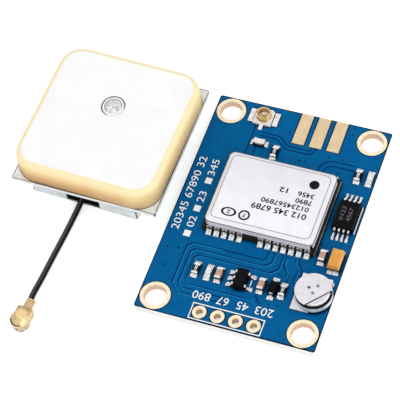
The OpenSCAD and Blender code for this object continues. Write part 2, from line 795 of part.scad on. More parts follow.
// A gull-wing leg: out of the body at its leg line, down, and along the board
module gull_leg(body_half, span_half, line_z, leg_w, leg_t) {
    knee = body_half + (span_half - body_half) * 0.4;
    translate([-leg_w / 2, 0, 0])
        rotate([90, 0, 90])
            linear_extrude(leg_w)
                polygon([
                    [body_half, line_z - leg_t / 2], [knee - leg_t, line_z - leg_t / 2],
                        [knee - leg_t / 2, 0],
                    [span_half, 0], [span_half, leg_t], [knee + leg_t / 2, leg_t],
                    [knee, line_z + leg_t / 2], [body_half, line_z + leg_t / 2]
                ]);
}

regulator_lift = regulator_h * 0.08;
regulator_line = regulator_lift + (regulator_h - regulator_lift) / 2;
module regulator_body() {
    color("black") at_place(regulator_place)
        moulded_body(regulator_w, regulator_l, regulator_h, regulator_lift);
}
module regulator_legs() {
    leg_t = regulator_h * 0.13;
    color("silver")
        at_place(regulator_place) {
            for (i = [-1, 0, 1])
                translate([0, i * regulator_pitch, 0])
                    rotate(90)
                        gull_leg(regulator_w / 2, regulator_span / 2, regulator_line, regulator_leg_w, leg_t);
            for (i = [-1, 1])
                translate([0, i * regulator_pitch, 0])
                    rotate(-90)
                        gull_leg(regulator_w / 2, regulator_span / 2, regulator_line, regulator_leg_w, leg_t);
        }
}

memory_lift = memory_h * 0.1;
memory_line = memory_lift + (memory_h - memory_lift) / 2;
module memory_chip_body() {
    color("black") at_place(memory_place) moulded_body(memory_w, memory_l, memory_h, memory_lift);
}
module memory_chip_legs() {
    leg_t = memory_h * 0.13;
    color("silver")
        at_place(memory_place)
            for (turn = [0, 180], i = [-1.5 : 1 : 1.5])
                rotate(turn)
                    translate([i * memory_pitch, 0, 0])
                        gull_leg(memory_l / 2, memory_span / 2, memory_line, memory_leg_w, leg_t);
}

diode_lift = diode_h * 0.06;
diode_line = diode_lift + (diode_h - diode_lift) / 2;
module diode_body() {
    color("black") at_place(diode_place) moulded_body(diode_w, diode_l, diode_h, diode_lift);
}
module diode_leads() {
    color("silver")
        at_place(diode_place)
            for (turn = [0, 180])
                rotate(turn) gull_leg(diode_l / 2, diode_span / 2, diode_line, diode_w * 0.4, diode_h * 0.14);
}

// Tantalum capacitor: a moulded block with a folded strip at each end
tantalum_strip_w = tantalum_w * 0.7;
tantalum_strip_t = tantalum_h * 0.08;
module tantalum_body() {
    body_l = tantalum_l - 2 * tantalum_strip_t;
    lift = tantalum_strip_t;
    color("orange")
        at_place(tantalum_place)
            difference() {
                moulded_body(tantalum_w, body_l, tantalum_h, lift);
                for (turn = [0, 180])
                    rotate(turn)
                        translate([-tantalum_w, body_l / 2 - tantalum_h * 0.12, -over])
                            cube([2 * tantalum_w, tantalum_l, over + tantalum_h / 2]);
            }
}
module tantalum_terminals() {
    body_half = tantalum_l / 2 - tantalum_strip_t;
    inner = body_half - tantalum_h * 0.12;
    color("silver")
        at_place(tantalum_place)
            for (turn = [0, 180])
                rotate(turn)
                    translate([-tantalum_strip_w / 2, 0, 0]) {
                        translate([0, inner, 0]) cube([tantalum_strip_w, tantalum_strip_t, tantalum_h / 2]);
                        translate([0, tantalum_l / 4, 0])
                            cube([tantalum_strip_w, inner - tantalum_l / 4 + tantalum_strip_t,
                                tantalum_strip_t]);
                    }
}

// Backup cell: outer can, gasket and cap are turned shapes on one axis
cell_r = cell_d / 2;
can_top = cell_h * cell_can_share;
cap_r = cell_r * 0.87;
module cell_at(z = 0) { at_place(cell_place) translate([0, 0, tab_t + z]) children(); }

module cell_can() {
    color("silver")
        cell_at()
            rotate_extrude($fn = 64)
                polygon([
                    [0, 0], [cell_r - cell_wall, 0], [cell_r, cell_wall], [cell_r, can_top - cell_wall],
                    [cell_r - cell_wall / 2, can_top], [cap_r + cell_wall / 2, can_top],
                    [cap_r + cell_wall / 2, can_top - cell_wall], [cell_r - cell_wall, can_top - cell_wall],
                    [cell_r - cell_wall, cell_wall], [0, cell_wall]
                ]);
}
module cell_gasket() {
    color("black")
        cell_at()
            rotate_extrude($fn = 64)
                polygon([
                    [cap_r, cell_wall], [cell_r - cell_wall, cell_wall],
                        [cell_r - cell_wall, can_top - cell_wall],
                    [cap_r + cell_wall / 2, can_top - cell_wall],
                        [cap_r + cell_wall / 2, can_top + cell_wall / 2],
                    [cap_r, can_top + cell_wall / 2]
                ]);
}
module cell_cap() {
    color("lightgray")
        cell_at()
            rotate_extrude($fn = 64)
                polygon(concat(
                    [[0, cell_wall], [cap_r, cell_wall]],
                    arc([cap_r - cell_wall, cell_h - cell_wall], cell_wall, 0, 90, 3),
                    [[0, cell_h]]));
}

// The top tab is a round plate with two square corners that run down to the board
corner_y = tab_d * 0.39;
leg_out_y = corner_y + tab_t;
module cell_top_tab() {
    leg_in_x = sqrt(max(pow(cell_r, 2) - pow(corner_y, 2), 0)) + play;
    cut_y = -tab_d * 0.26;
    color("gainsboro")
        cell_at()
            difference() {
                union() {
                    translate([0, 0, cell_h]) cylinder(d = tab_d, h = tab_t, $fn = 64);
                    translate([-tab_w / 2, 0, cell_h]) cube([tab_w, leg_out_y, tab_t]);
                    for (x = [0, 1])
                        mirror([x, 0, 0])
                            translate([leg_in_x, corner_y, -tab_t]) {
                                cube([tab_w / 2 - leg_in_x, tab_t, cell_h + 2 * tab_t]);
                                cube([tab_w / 2 - leg_in_x, 4 * tab_t, tab_t]);
                            }
                }
                translate([0, 0, cell_h - tab_t])
                    rotate(47) translate([-tab_d, cut_y - tab_d, 0]) cube([2 * tab_d, tab_d, 3 * tab_t]);
            }
}
module cell_bottom_tab() {
    reach = cell_r * 1.02;
    color("gainsboro")
        cell_at(-tab_t)
            translate([-reach, -reach, 0]) cube([cell_r, reach, tab_t]);
}

// Solder at the toe of one leg, out along +Y
module leg_solder(span, width) {
    rise = 2 * solder_t;
    translate([width / 2, span / 2, 0])
        rotate([90, 0, -90])
            linear_extrude(width)
                polygon([[0, 0], [-solder_l, 0], [-solder_l, solder_t / 2], [-solder_l * 0.4, rise * 0.8],
                    [0, rise]]);
}

// All the solder on the board's parts
module solder_joints() {
    color("gainsboro") {
        at_place(coil_place, 90) end_solder(chip_l, solder_w, coil_h * 0.6);
        for (p = resistor_places) at_place(p) end_solder(chip_l, solder_w, resistor_h * 0.7);
        for (p = capacitor_places) at_place(p) end_solder(chip_l, solder_w, capacitor_h * 0.6);
        for (p = lamp_places) at_place(p) end_solder(chip_l, solder_w, lamp_base_t);
        at_place(tantalum_place)
            end_solder(tantalum_l - 2 * tantalum_h * 0.12, tantalum_w * 0.9, tantalum_h * 0.3);
        at_place(diode_place) end_solder(diode_span, solder_w, diode_h * 0.14);
        at_place(regulator_place) {
            for (i = [-1, 0, 1])
                translate([0, i * regulator_pitch, 0]) rotate(90)
                    leg_solder(regulator_span, regulator_leg_w * 1.5);
            for (i = [-1, 1])
                translate([0, i * regulator_pitch, 0]) rotate(-90)
                    leg_solder(regulator_span, regulator_leg_w * 1.5);
        }
        at_place(memory_place)
            for (turn = [0, 180], i = [-1.5 : 1 : 1.5])
                rotate(turn) translate([i * memory_pitch, 0, 0]) leg_solder(memory_span, memory_leg_w * 1.4);
    }
}

// Places in the antenna, which lies beside the board
antenna_board_w = ceramic_w + 2 * antenna_board_edge;
can_w = antenna_board_w - 2 * can_side_edge;
can_l = antenna_board_w - 2 * can_end_edge;
patch_w = ceramic_w - 2 * patch_edge;
antenna_half = antenna_board_w / 2;
antenna_x = -board_w / 2 - antenna_gap - antenna_half;
antenna_y = board_l * 0.152;
module antenna_at(z = 0) {
    translate([antenna_x, antenna_y, z]) rotate(antenna_turn) children();
}
module ceramic_at(z = 0) { antenna_at(z) rotate(ceramic_turn) children(); }
antenna_board_z = can_h;
film_z = can_h + antenna_board_t;
ceramic_z = film_z + film_t;
patch_z = ceramic_z + ceramic_t;

feed_clear_d = feed_pin_d + 2 * play;
module feed_cut(h) {
    translate([0, feed_offset, -over]) cylinder(d = feed_clear_d, h = h + 2 * over);
}

module antenna_ceramic() {
    color("moccasin")
        ceramic_at(ceramic_z)
            difference() {
                soft_block(ceramic_w, ceramic_w, ceramic_t, ceramic_corner_r, ceramic_edge_w,
                    ceramic_edge_h, 5);
                feed_cut(ceramic_t);
            }
}
module antenna_patch() {
    color("whitesmoke")
        ceramic_at(patch_z)
            difference() {
                rounded_plate(patch_w, patch_w, patch_t, patch_corner_r);
                feed_cut(patch_t);
            }
}
module antenna_feed_pin() {
    color("silver")
        ceramic_at()
            translate([0, feed_offset, 0]) {
                translate([0, 0, antenna_board_z])
                    cylinder(d = feed_pin_d, h = patch_z + patch_t - antenna_board_z);
                translate([0, 0, patch_z + patch_t])
                    rotate_extrude()
                        polygon(concat([[0, 0], [dome_d / 2, 0]],
                            [for (a = [15 : 15 : 90]) [dome_d / 2 * cos(a), dome_h * sin(a)]]));
            }
}
module antenna_film() {
    color("dimgray")
        ceramic_at(film_z)
            difference() {
                rounded_plate(ceramic_w - ceramic_edge_w, ceramic_w - ceramic_edge_w, film_t,
                    ceramic_corner_r - ceramic_edge_w / 2);
                feed_cut(film_t);
            }
}
module antenna_board() {
    color("gainsboro")
        difference() {
            antenna_at(antenna_board_z)
                rounded_plate(antenna_board_w, antenna_board_w, antenna_board_t, antenna_board_t / 2);
            ceramic_at(antenna_board_z) feed_cut(antenna_board_t);
        }
}

// Folded sheet can, closed below, open at its corners, with a notch for the lead on its front.
// It sits a little to the left of the antenna board's middle.
can_corner_r = 2 * can_t;
can_shift_x = -antenna_board_w * 0.0306;
can_shift_y = -antenna_board_w * 0.0127;
module can_at(z = 0) {
    antenna_at(z) translate([can_shift_x, can_shift_y, 0]) rotate(can_turn) children();
}
module antenna_can() {
    color("silver")
        can_at()
            difference() {
                rounded_plate(can_w, can_l, can_h, can_corner_r);
                translate([0, 0, can_t])
                    rounded_plate(can_w - 2 * can_t, can_l - 2 * can_t, can_h, can_corner_r - can_t);
                translate([-notch_w / 2 - can_w * 0.006, -can_l / 2 - over, can_t])
                    cube([notch_w, can_t + 2 * over, can_h]);
                for (x = [-1, 1], y = [-1, 1])
                    translate([x * can_w / 2, y * can_l / 2, can_t + can_h / 2])
                        rotate(45) cube([3 * can_t, 3 * can_t, can_h], center = true);
            }
}
module antenna_block(place_shares, size_shares, height_share) {
    size = [can_w * size_shares[0], can_l * size_shares[1], can_h * height_share];
    can_at(antenna_board_z - size[2])
        translate([place_shares[0] * can_w - size[0] / 2, place_shares[1] * can_l - size[1] / 2, 0])
            cube(size);
}
module antenna_amplifier() { color("black") antenna_block([0.25, 0.05], [0.11, 0.1], 0.25); }
module antenna_filter() { color("tan") antenna_block([-0.25, 0.05], [0.17, 0.15], 0.3); }

// Hand-chosen route of the lead, from the antenna's board to the plug's sleeve,
// seen from the point under the middle of the antenna's board
lead_route = [
    [-0.75, -4.23, 3.35], [-0.85, -5.13, 3.2], [-1.05, -6.63, 2.2], [-1.25, -8.23, 1.2],
    [-1.43, -9.93, 0.66], [-1.55, -11.83, 0.46], [-1.68, -14.43, 0.43], [-1.85, -17.13, 0.43],
    [-2.03, -19.83, 0.43], [-2.17, -22.43, 0.46], [-2.23, -24.03, 0.62], [-2.23, -25.23, 0.84],
    [-2.18, -26.23, 0.94], [-2.11, -27.23, 0.94]
];
lead_sides = 8;
function cross_unit(a, b) = cross(a, b) / norm(cross(a, b));
// Catmull-Rom point on stretch i of a route, at share t of the stretch
function route_point(p, i, t) =
    let (a = p[max(i - 1, 0)], b = p[i], c = p[i + 1], d = p[min(i + 2, len(p) - 1)])
    0.5 * (2 * b + t * (c - a) + t * t * (2 * a - 5 * b + 4 * c - d) + t * t * t * (3 * b - a - 3 * c + d));
lead_steps = 3;
lead_points = concat(
    [for (i = [0 : len(lead_route) - 2], k = [0 : lead_steps - 1])
        route_point(lead_route, i, k / lead_steps)],
    [lead_route[len(lead_route) - 1]]);
function route_way(p, i) = p[min(i + 1, len(p) - 1)] - p[max(i - 1, 0)];
// A tube along points: a ring of corners at each point, joined by quads
module swept_tube(points, d, sides) {
    rings = [
        for (i = [0 : len(points) - 1])
            let (w = route_way(points, i), u = cross_unit(w, [1, 0, 0]), v = cross_unit(w, u))
            [for (k = [0 : sides - 1])
                points[i] + d / 2 * (cos(360 * (k + 0.5) / sides) * u + sin(360 * (k + 0.5) / sides) * v)]
    ];
    n = len(points);
    polyhedron(
        [for (r = rings) each r],
        concat(
            [[for (k = [sides - 1 : -1 : 0]) k]],
            [for (i = [0 : n - 2], k = [0 : sides - 1])
                let (a = i * sides + k, b = i * sides + (k + 1) % sides) [a, b, b + sides, a + sides]],
            [[for (k = [0 : sides - 1]) (n - 1) * sides + k]]));
}
module by_antenna() { translate([antenna_x, antenna_y, 0]) children(); }
module antenna_lead() {
    color("black") by_antenna() swept_tube(lead_points, lead_d, lead_sides);
}

// The plug lies on its mating face at the end of the lead
lead_end = lead_route[len(lead_route) - 1];
plug_turn = -5;
plug_ring_r = plug_ring_d / 2;
crimp_z = lead_end[2];
plug_reach = plug_ring_d;
ferrule_y = plug_ring_r * 1.5;
ring_h = plug_h * 0.62;
// The plug's own origin is its ring's axis, and +Y points back along the lead
module plug_at() {
    by_antenna()
        translate([lead_end[0], lead_end[1], 0]) rotate(plug_turn) translate([0, -plug_reach, 0]) children();
}
module plug_shell() {
    neck_w = plug_ring_d * 0.84;
    color("gold")
        plug_at()
            difference() {
                union() {
                    cylinder(r = plug_ring_r * 0.94, h = ring_h);
                    translate([0, 0, ring_h - play])
                        cylinder(r = plug_ring_r, h = plug_h - ring_h - plug_wall + play);
                    translate([0, plug_ring_r * 0.55, plug_h - plug_wall - play])
                        cylinder(r = plug_ring_r * 0.66, h = plug_wall + play);
                    translate([-neck_w / 2, 0, plug_wall]) cube([neck_w, ferrule_y, plug_h - 2 * plug_wall]);
                    translate([0, ferrule_y - play, crimp_z]) rotate([-90, 0, 0])
                        cylinder(d = crimp_d, h = crimp_l + play);
                }
                translate([0, 0, -over]) cylinder(r = plug_ring_r * 0.94 - plug_wall, h = ring_h + over);
                translate([0, plug_ring_r, crimp_z])
                    rotate([-90, 0, 0]) cylinder(d = lead_d + 2 * play, h = plug_reach + crimp_l);
                for (a = [-145, -90, -35])
                    rotate(a) translate([plug_ring_r / 2, -plug_wall / 2, -over])
                        cube([plug_ring_r, plug_wall, ring_h * 0.85 + over]);
            }
}
module plug_insulator() {
    color("white")
        plug_at()
            translate([0, 0, ring_h * 0.45])
                difference() {
                    cylinder(r = plug_ring_r * 0.94 - plug_wall, h = ring_h * 0.55);
                    translate([0, 0, -over]) cylinder(d = socket_pin_d + 2 * plug_wall, h = ring_h + over);
                }
}
module plug_contact() {
    color("gold")
        plug_at()
            translate([0, 0, ring_h * 0.25])
                difference() {
                    cylinder(d = socket_pin_d + 2 * plug_wall, h = ring_h * 0.75);
                    translate([0, 0, -over]) cylinder(d = socket_pin_d + play, h = ring_h * 0.55 + over);
                }
}

circuit_board();
solder_mask();
mounting_hole_plating();
header_hole_plating();
edge_pads();
board_print();
solder_joints();
module_board();
module_contacts();
module_solder();
module_shield();
receiver_chip();
module_crystal();
module_filter();
module_amplifier();
socket_base();
socket_shell();
socket_pin();
aerial_coil();
aerial_resistor();
fix_lamp_resistor();
power_lamp_resistor();
data_resistor();
input_capacitor();
output_capacitor();
memory_capacitor();
coil_ends();
resistor_ends();
capacitor_ends();
fix_lamp_base();
fix_lamp_lens();
power_lamp_base();
power_lamp_lens();
lamp_ends();
regulator_body();
regulator_legs();
memory_chip_body();
memory_chip_legs();
diode_body();
diode_leads();
tantalum_body();
tantalum_terminals();
cell_can();
cell_gasket();
cell_cap();
cell_top_tab();
cell_bottom_tab();
antenna_ceramic();
antenna_patch();
antenna_feed_pin();
antenna_film();
antenna_board();
antenna_can();
antenna_amplifier();
antenna_filter();
antenna_lead();
plug_shell();
plug_insulator();
plug_contact();
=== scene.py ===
"""Looks for the receiver board and its patch antenna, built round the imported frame."""
import math

import bmesh
import bpy
from mathutils import Matrix, Vector


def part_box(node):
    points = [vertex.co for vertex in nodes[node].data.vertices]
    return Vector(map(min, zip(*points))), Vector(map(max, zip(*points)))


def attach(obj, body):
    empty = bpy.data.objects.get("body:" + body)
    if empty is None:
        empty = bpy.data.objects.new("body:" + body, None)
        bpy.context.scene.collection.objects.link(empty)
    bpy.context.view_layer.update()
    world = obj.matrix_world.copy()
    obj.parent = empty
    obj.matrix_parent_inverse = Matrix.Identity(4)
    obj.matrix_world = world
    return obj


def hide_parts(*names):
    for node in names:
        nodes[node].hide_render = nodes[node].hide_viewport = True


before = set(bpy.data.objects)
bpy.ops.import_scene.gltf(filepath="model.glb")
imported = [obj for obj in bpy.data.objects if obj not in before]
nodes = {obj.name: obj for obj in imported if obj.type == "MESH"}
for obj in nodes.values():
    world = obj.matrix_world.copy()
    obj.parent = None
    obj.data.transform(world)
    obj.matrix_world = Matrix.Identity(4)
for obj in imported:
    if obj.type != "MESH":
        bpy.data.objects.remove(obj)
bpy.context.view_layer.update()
scene = bpy.context.scene
MM = 0.001
BODY = "root"

# Places and sizes on the object, in mm and degrees
BOARD_HALF = (12.7, 17.85)
BOARD_TOP = 1.2
MASK_T = 0.05
MOUNT_HOLES, MOUNT_RIM_R = [(x, y) for x in (-10.38, 10.38) for y in (-15.6, 15.6)], 2.155
HEADER_HOLES, HEADER_RIM_R = [(x, -16.35) for x in (-3.81, -1.27, 1.27, 3.81)], 1.07
RIM_Z = BOARD_TOP - 0.004
PAD_MIDDLES, PAD_HALF, PAD_Y = [2.939 + k * 2.54 for k in (-1, 0, 1)], 0.97, (12.63, 17.78)
COVER_TOP = BOARD_TOP + 2.4
COVER_AT, COVER_HALF, COVER_RIM, COVER_RIM_DROP = (0.26, 2.099), (7.72, 5.82), 0.65, 0.4
COVER_CORNER = 0.75
COVER_RINGS = [(-4.51, -1.77), (-2.29, -1.75)]
CHIP_TOP = BOARD_TOP + 1.1
RESISTOR_TOP = BOARD_TOP + 0.45 - 0.03
SOCKET, SOCKET_SEAM = (-5.471, 15.701), (1.36, 1.05, 0.15)
PATCH_TOP = 8.15
FEED = (-23.2, 6.1)
CAN_AT, CAN_TURN, CAN_HALF = (-25.012, 5.162, 0), -2.2, (8.15, 9.35)
ANTENNA_AT, ANTENNA_TURN, ANTENNA_HALF = (-24.35, 5.426, 0), -0.8, 10.75
PLUG_AT, PLUG_TURN = (-26.678, -24.291, 0), -5
TAB_CUT_TURN = 47
# Corners closer than this are one
MERGE = 0.0005

# Period of Blender's wave texture at scale 1
WAVE_PERIOD = 0.314
# How bright floor and surroundings look by themselves, and how much light the surroundings give
FLOOR_GLOW, WORLD_GLOW, WORLD_LIGHT = 0.42, 1.0, 0.66
LAMPS_AIM = (-0.01, 0, 0)

# ---------------------------------------------------------------- camera
# Fitted to the photograph: position in mm, and the camera's right, down and forward directions
CAMERA_AT = (59.118, -122.232, 217.120)
CAMERA_AXES = (
    (0.936047, 0.334841, -0.108158),
    (0.229221, -0.813456, -0.534552),
    (-0.266972, 0.475574, -0.838186),
)
FOCAL_PX, IMAGE_PX = 1870.2, 400

lens = bpy.data.cameras.new("photo_camera")
lens.sensor_width = 36
lens.lens = FOCAL_PX * lens.sensor_width / IMAGE_PX
lens.clip_start, lens.clip_end = 0.01, 20
camera = bpy.data.objects.new("photo_camera", lens)
scene.collection.objects.link(camera)
right, down, ahead = (Vector(axis) for axis in CAMERA_AXES)
facing = Matrix((right, -down, -ahead)).transposed().to_4x4()
camera.matrix_world = Matrix.Translation(Vector(CAMERA_AT) * MM) @ facing
scene.camera = camera
scene.view_settings.view_transform = "Standard"


# ---------------------------------------------------------------- materials
def linear(hexa):
    """Linear colour of an sRGB hex such as 1C5F9A."""
    parts = (int(hexa[i:i + 2], 16) / 255 for i in (0, 2, 4))
    return tuple(c / 12.92 if c <= 0.04045 else ((c + 0.055) / 1.055) ** 2.4 for c in parts) + (1,)


def add(tree, kind, inputs=None, **settings):
    """Adds a node; inputs are values or sockets to link, by name or number."""
    made = tree.nodes.new("ShaderNode" + kind)
    for key, value in settings.items():
        setattr(made, key, value)
    for key, value in (inputs or {}).items():
        if isinstance(value, bpy.types.NodeSocket):
            tree.links.new(value, made.inputs[key])
        else:
            made.inputs[key].default_value = value
    return made


def place_of(tree, stretch=(1, 1, 1)):
    """Object coordinates in millimetres, stretched along an axis if asked."""
    coords = add(tree, "TexCoord")
    scaled = add(tree, "Mapping", {0: coords.outputs["Object"], "Scale": [s / MM for s in stretch]})
    return scaled.outputs[0]


def toward(tree, tint, other, value, low, high, at_low=0.0, at_high=1.0):
    """The tint with a share of another colour: at_low while the value is low, at_high from high on."""
    share = add(tree, "MapRange", {0: value, 1: low, 2: high, 3: at_low, 4: at_high})
    return add(tree, "Mix", {0: share.outputs[0], 6: tint, 7: other}, data_type="RGBA").outputs[2]


def upward(tree):
    """How far the surface faces up: 1 for a top, 0 for a side, -1 for an underside."""
    surface = add(tree, "NewGeometry")
    return add(tree, "SeparateXYZ", {0: surface.outputs["Normal"]}).outputs[2]


def away_from(tree, place, x, y):
    """Level distance from an upright line, in millimetres."""
    flat = add(tree, "VectorMath", {0: place, 1: (-x, -y, 0)}, operation="ADD").outputs[0]
    flat = add(tree, "VectorMath", {0: flat, 1: (1, 1, 0)}, operation="MULTIPLY").outputs[0]
    return add(tree, "VectorMath", {0: flat}, operation="LENGTH").outputs[1]


def reach_from(tree, place, centre, turn):
    """Distances from a turned plate's middle along its own sides, as X and Y."""
    local = add(tree, "Mapping", {0: place, "Location": centre, "Rotation": (0, 0, math.radians(turn))},
                vector_type="TEXTURE").outputs[0]
    reach = add(tree, "VectorMath", {0: local}, operation="ABSOLUTE").outputs[0]
    return add(tree, "SeparateXYZ", {0: reach}).outputs[:2]


# Looks: each changes the tint that a place has so far, and a finish takes a list of them
def speckled(hexa, size_mm, low, high, most=1.0, detail=1.0):
    """Specks or blotches of another colour, about size_mm across."""
    def look(tree, place, tint):
        noise = add(tree, "TexNoise", {"Vector": place, "Scale": 1 / size_mm, "Detail": detail})
        return toward(tree, tint, linear(hexa), noise.outputs[0], low, high, 0, most)
    return look


def by_height(hexa, low, high, below=1.0, above=0.0):
    """Another colour below or above a height."""
    def look(tree, place, tint):
        height = add(tree, "SeparateXYZ", {0: place}).outputs[2]
        return toward(tree, tint, linear(hexa), height, low, high, below, above)
    return look


def foot_along_x(hexa, low, high, x_from, x_to, at_from, at_to):
    """Another colour below a height, whose share changes along X."""
    def look(tree, place, tint):
        x, _, height = add(tree, "SeparateXYZ", {0: place}).outputs
        share = add(tree, "MapRange", {0: x, 1: x_from, 2: x_to, 3: at_from, 4: at_to})
        return toward(tree, tint, linear(hexa), height, low, high, share.outputs[0], 0)
    return look


def by_slope(hexa, low, high, under, over):
    """Another colour where the surface faces down or up."""
    def look(tree, place, tint):
        return toward(tree, tint, linear(hexa), upward(tree), low, high, under, over)
    return look


def painted_upright_dark(hexa, amount):
    """Painted dark reflection and painted shade: a bright plate darkened where it stands upright."""
    def look(tree, place, tint):
        level = add(tree, "Math", {0: upward(tree)}, operation="ABSOLUTE").outputs[0]
        return toward(tree, tint, linear(hexa), level, 0.25, 0.6, amount, 0)
    return look


def by_distance(hexa, centre, low, high, within=0.0, outside=1.0):
    """Another colour near an upright line or away from it."""
    def look(tree, place, tint):
        return toward(tree, tint, linear(hexa), away_from(tree, place, *centre), low, high, within, outside)
    return look


def layered(hexa, pitch_mm, amount):
    """Fine level layers, as a cut laminate or a chip part's side shows."""
    def look(tree, place, tint):
        scale = WAVE_PERIOD / pitch_mm
        wave = add(tree, "TexWave", {"Vector": place, "Scale": scale, "Distortion": 1.5, "Detail": 1.0},
                   bands_direction="Z")
        return toward(tree, tint, linear(hexa), wave.outputs[1], 0, 1, 0, amount)
    return look


def shaded(hexa, reach_mm, low, high, most=1.0):
    """Painted shade: darker in the corners and beside other parts, from ambient occlusion."""
    def look(tree, place, tint):
        open_air = add(tree, "AmbientOcclusion", {"Distance": reach_mm * MM}, samples=8)
        return toward(tree, tint, linear(hexa), open_air.outputs["AO"], low, high, most, 0)
    return look


def edged(hexa, centre, turn, half, line_mm, top):
    """A thin dark line round a square plate's top; its sawn sides stay pale."""
    def look(tree, place, tint):
        across, along = reach_from(tree, place, centre, turn)
        farther = add(tree, "Math", {0: across, 1: along}, operation="MAXIMUM").outputs[0]
        rim = add(tree, "MapRange", {0: farther, 1: half - line_mm, 2: half - line_mm * 0.7, 3: 0, 4: top})
        return toward(tree, tint, linear(hexa), farther, half - 0.02, half - 0.01, rim.outputs[0], 0)
    return look


def tinned_flange(tree, place, tint):
    """Gold stays on the socket's ring; the flange and the side terminals are tinned over."""
    tinned = speckled("D9D0CE", 0.3, 0.4, 0.6, detail=2.0)(tree, place, linear("FAF6F4"))
    return toward(tree, tint, tinned, away_from(tree, place, *SOCKET), 1.02, 1.08)


def dark_inside_can(tree, place, tint):
    """The can is dark inside, as nothing lights it there."""
    shares = [add(tree, "MapRange", {0: reach, 1: half - 0.2, 2: half - 0.1, 3: 1, 4: 0}).outputs[0]
              for reach, half in zip(reach_from(tree, place, CAN_AT, CAN_TURN), CAN_HALF)]
    inside = add(tree, "Math", {0: shares[0], 1: shares[1]}, operation="MINIMUM").outputs[0]
    return by_height("060607", 0.1, 0.15, 0, inside)(tree, place, tint)


def finish(name, base, other, blotch_mm, grain_mm, rough, rough_by=0.08, metal=0.0, bump_mm=0.004,
           stretch=(1, 1, 1), looks=(), **sockets):
    """A surface with blotches of a second colour, a fine grain in its bump and an uneven roughness.
    The looks are laid over its colour one after another."""
    mat = bpy.data.materials.new(name)
    mat.use_nodes = True
    tree = mat.node_tree
    shader = tree.nodes["Principled BSDF"]
    place = place_of(tree)
    tint = speckled(other, blotch_mm, 0.32, 0.68, detail=2.0)(tree, place, linear(base))
    for look in looks:
        tint = look(tree, place, tint)
    grain = add(tree, "TexNoise", {"Vector": place_of(tree, stretch), "Scale": 1 / grain_mm, "Detail": 3}).outputs[0]
    uneven = add(tree, "MapRange", {0: grain, 1: 0.3, 2: 0.7, 3: max(rough - rough_by, 0.02), 4: rough + rough_by})
    bump = add(tree, "Bump", {"Height": grain, "Strength": 1.0, "Distance": bump_mm * MM})
    tree.links.new(tint, shader.inputs["Base Color"])
    tree.links.new(uneven.outputs[0], shader.inputs["Roughness"])
    tree.links.new(bump.outputs[0], shader.inputs["Normal"])
    shader.inputs["Metallic"].default_value = metal
    for key, value in sockets.items():
        shader.inputs[key.replace("_", " ")].default_value = value
    return mat


# Blue lacquer over the board: deep and saturated, with a soft gloss.
# Sunk lines are darker, and painted shade darkens it round pads and parts
lacquer = finish("blue_solder_lacquer", "00609B", "005890", 0.5, 0.2, 0.36, bump_mm=0.002, Specular_IOR_Level=0.04,
                 looks=[speckled("00689F", 2.4, 0.45, 0.7, 0.35),
                        by_height("003E7A", BOARD_TOP - MASK_T * 0.5, BOARD_TOP - MASK_T * 0.1),
                        shaded("000A1C", 0.6, 0.6, 0.95, 0.97)])
# The same lacquer a little lighter: over the copper tracks, and as a painted highlight beside the sunk lines
track_and_highlight_lacquer = finish("lacquer_over_track_and_painted_highlight", "1578B0", "0E6EA8", 0.5, 0.2, 0.36, bump_mm=0.002,
                       Specular_IOR_Level=0.06)
# Painted shade: the same lacquer deeper and darker, laid beside the sunk lines' far edges
groove_shade_lacquer = finish("painted_groove_shade", "00447C", "003E74", 0.5, 0.2, 0.4, bump_mm=0.002,
                      Specular_IOR_Level=0.04)
# Painted shade: thin dark rims in the gaps round the bare pads and holes, and along the board's edge
rim_shade_finish = finish("painted_rim_shade", "000F2B", "001736", 0.3, 0.05, 0.5, Specular_IOR_Level=0.1)
# Glass fibre laminate, seen on the board's sawn sides: near white, with faint layers and a painted shadow along its
# foot.
# Its underside has the blue lacquer
laminate = finish("glass_fibre_laminate", "FBFAF5", "F3F1EA", 0.8, 0.06, 0.7, Specular_IOR_Level=0.2,
                  looks=[layered("D8D5C8", 0.18, 0.12), by_height("8C8B88", 0.06, 0.12, 0.5),
                         by_slope("00609B", -0.9, -0.5, 1, 0)])
# Thin gold on the rings round the holes: pale cream, and tan down the barrel as painted shade
gold_ring = finish("immersion_gold_rings", "FFF6DC", "F3DFB6", 0.32, 0.05, 0.45, metal=0.1, Specular_IOR_Level=0.3,
                   looks=[by_height("DDC3A8", 1.14, BOARD_TOP)])
# Thin gold on the edge pads, a duller tan
gold_pad = finish("immersion_gold_pads", "E9CFA8", "DCC39C", 0.9, 0.07, 0.45, metal=0.15, bump_mm=0.006,
                  Specular_IOR_Level=0.2)
# Gold plate on the plug: yellow, and dark brown in its corners as painted shade
gold_bright = finish("bright_gold_plate", "F6E0AE", "DBB87C", 0.3, 0.04, 0.38, metal=0.3, bump_mm=0.006,
                     looks=[shaded("2A1A06", 0.35, 0.25, 0.8)])
# Gold plate on the socket's ring, browner low down
gold_socket = finish("gold_socket_ring", "F3DC98", "CDA35A", 0.3, 0.04, 0.3, metal=0.6, bump_mm=0.003,
                     looks=[by_height("8A5A2A", 1.6, 2.2), tinned_flange])
# The socket's centre pin: gold above, white solder on its tail
gold_pin = finish("gold_pin_and_tail", "FFE9A6", "E8C676", 0.3, 0.04, 0.3, metal=0.5, bump_mm=0.003,
                  looks=[by_distance("FAFAFC", SOCKET, 0.6, 0.7)])
# Solder-wetted contacts of the module
gold_contact = finish("wetted_module_contacts", "E8E6E2", "A9A39A", 0.3, 0.05, 0.35, metal=0.5)
# Bright tin on legs and end caps, with painted shade in its corners and a painted dark reflection where it stands
# upright
tin = finish("tin_plate", "FAFAFB", "D2D2D6", 0.3, 0.03, 0.35, metal=0.4,
             looks=[shaded("15151A", 0.4, 0.3, 0.65), painted_upright_dark("0B0B0E", 0.92)])
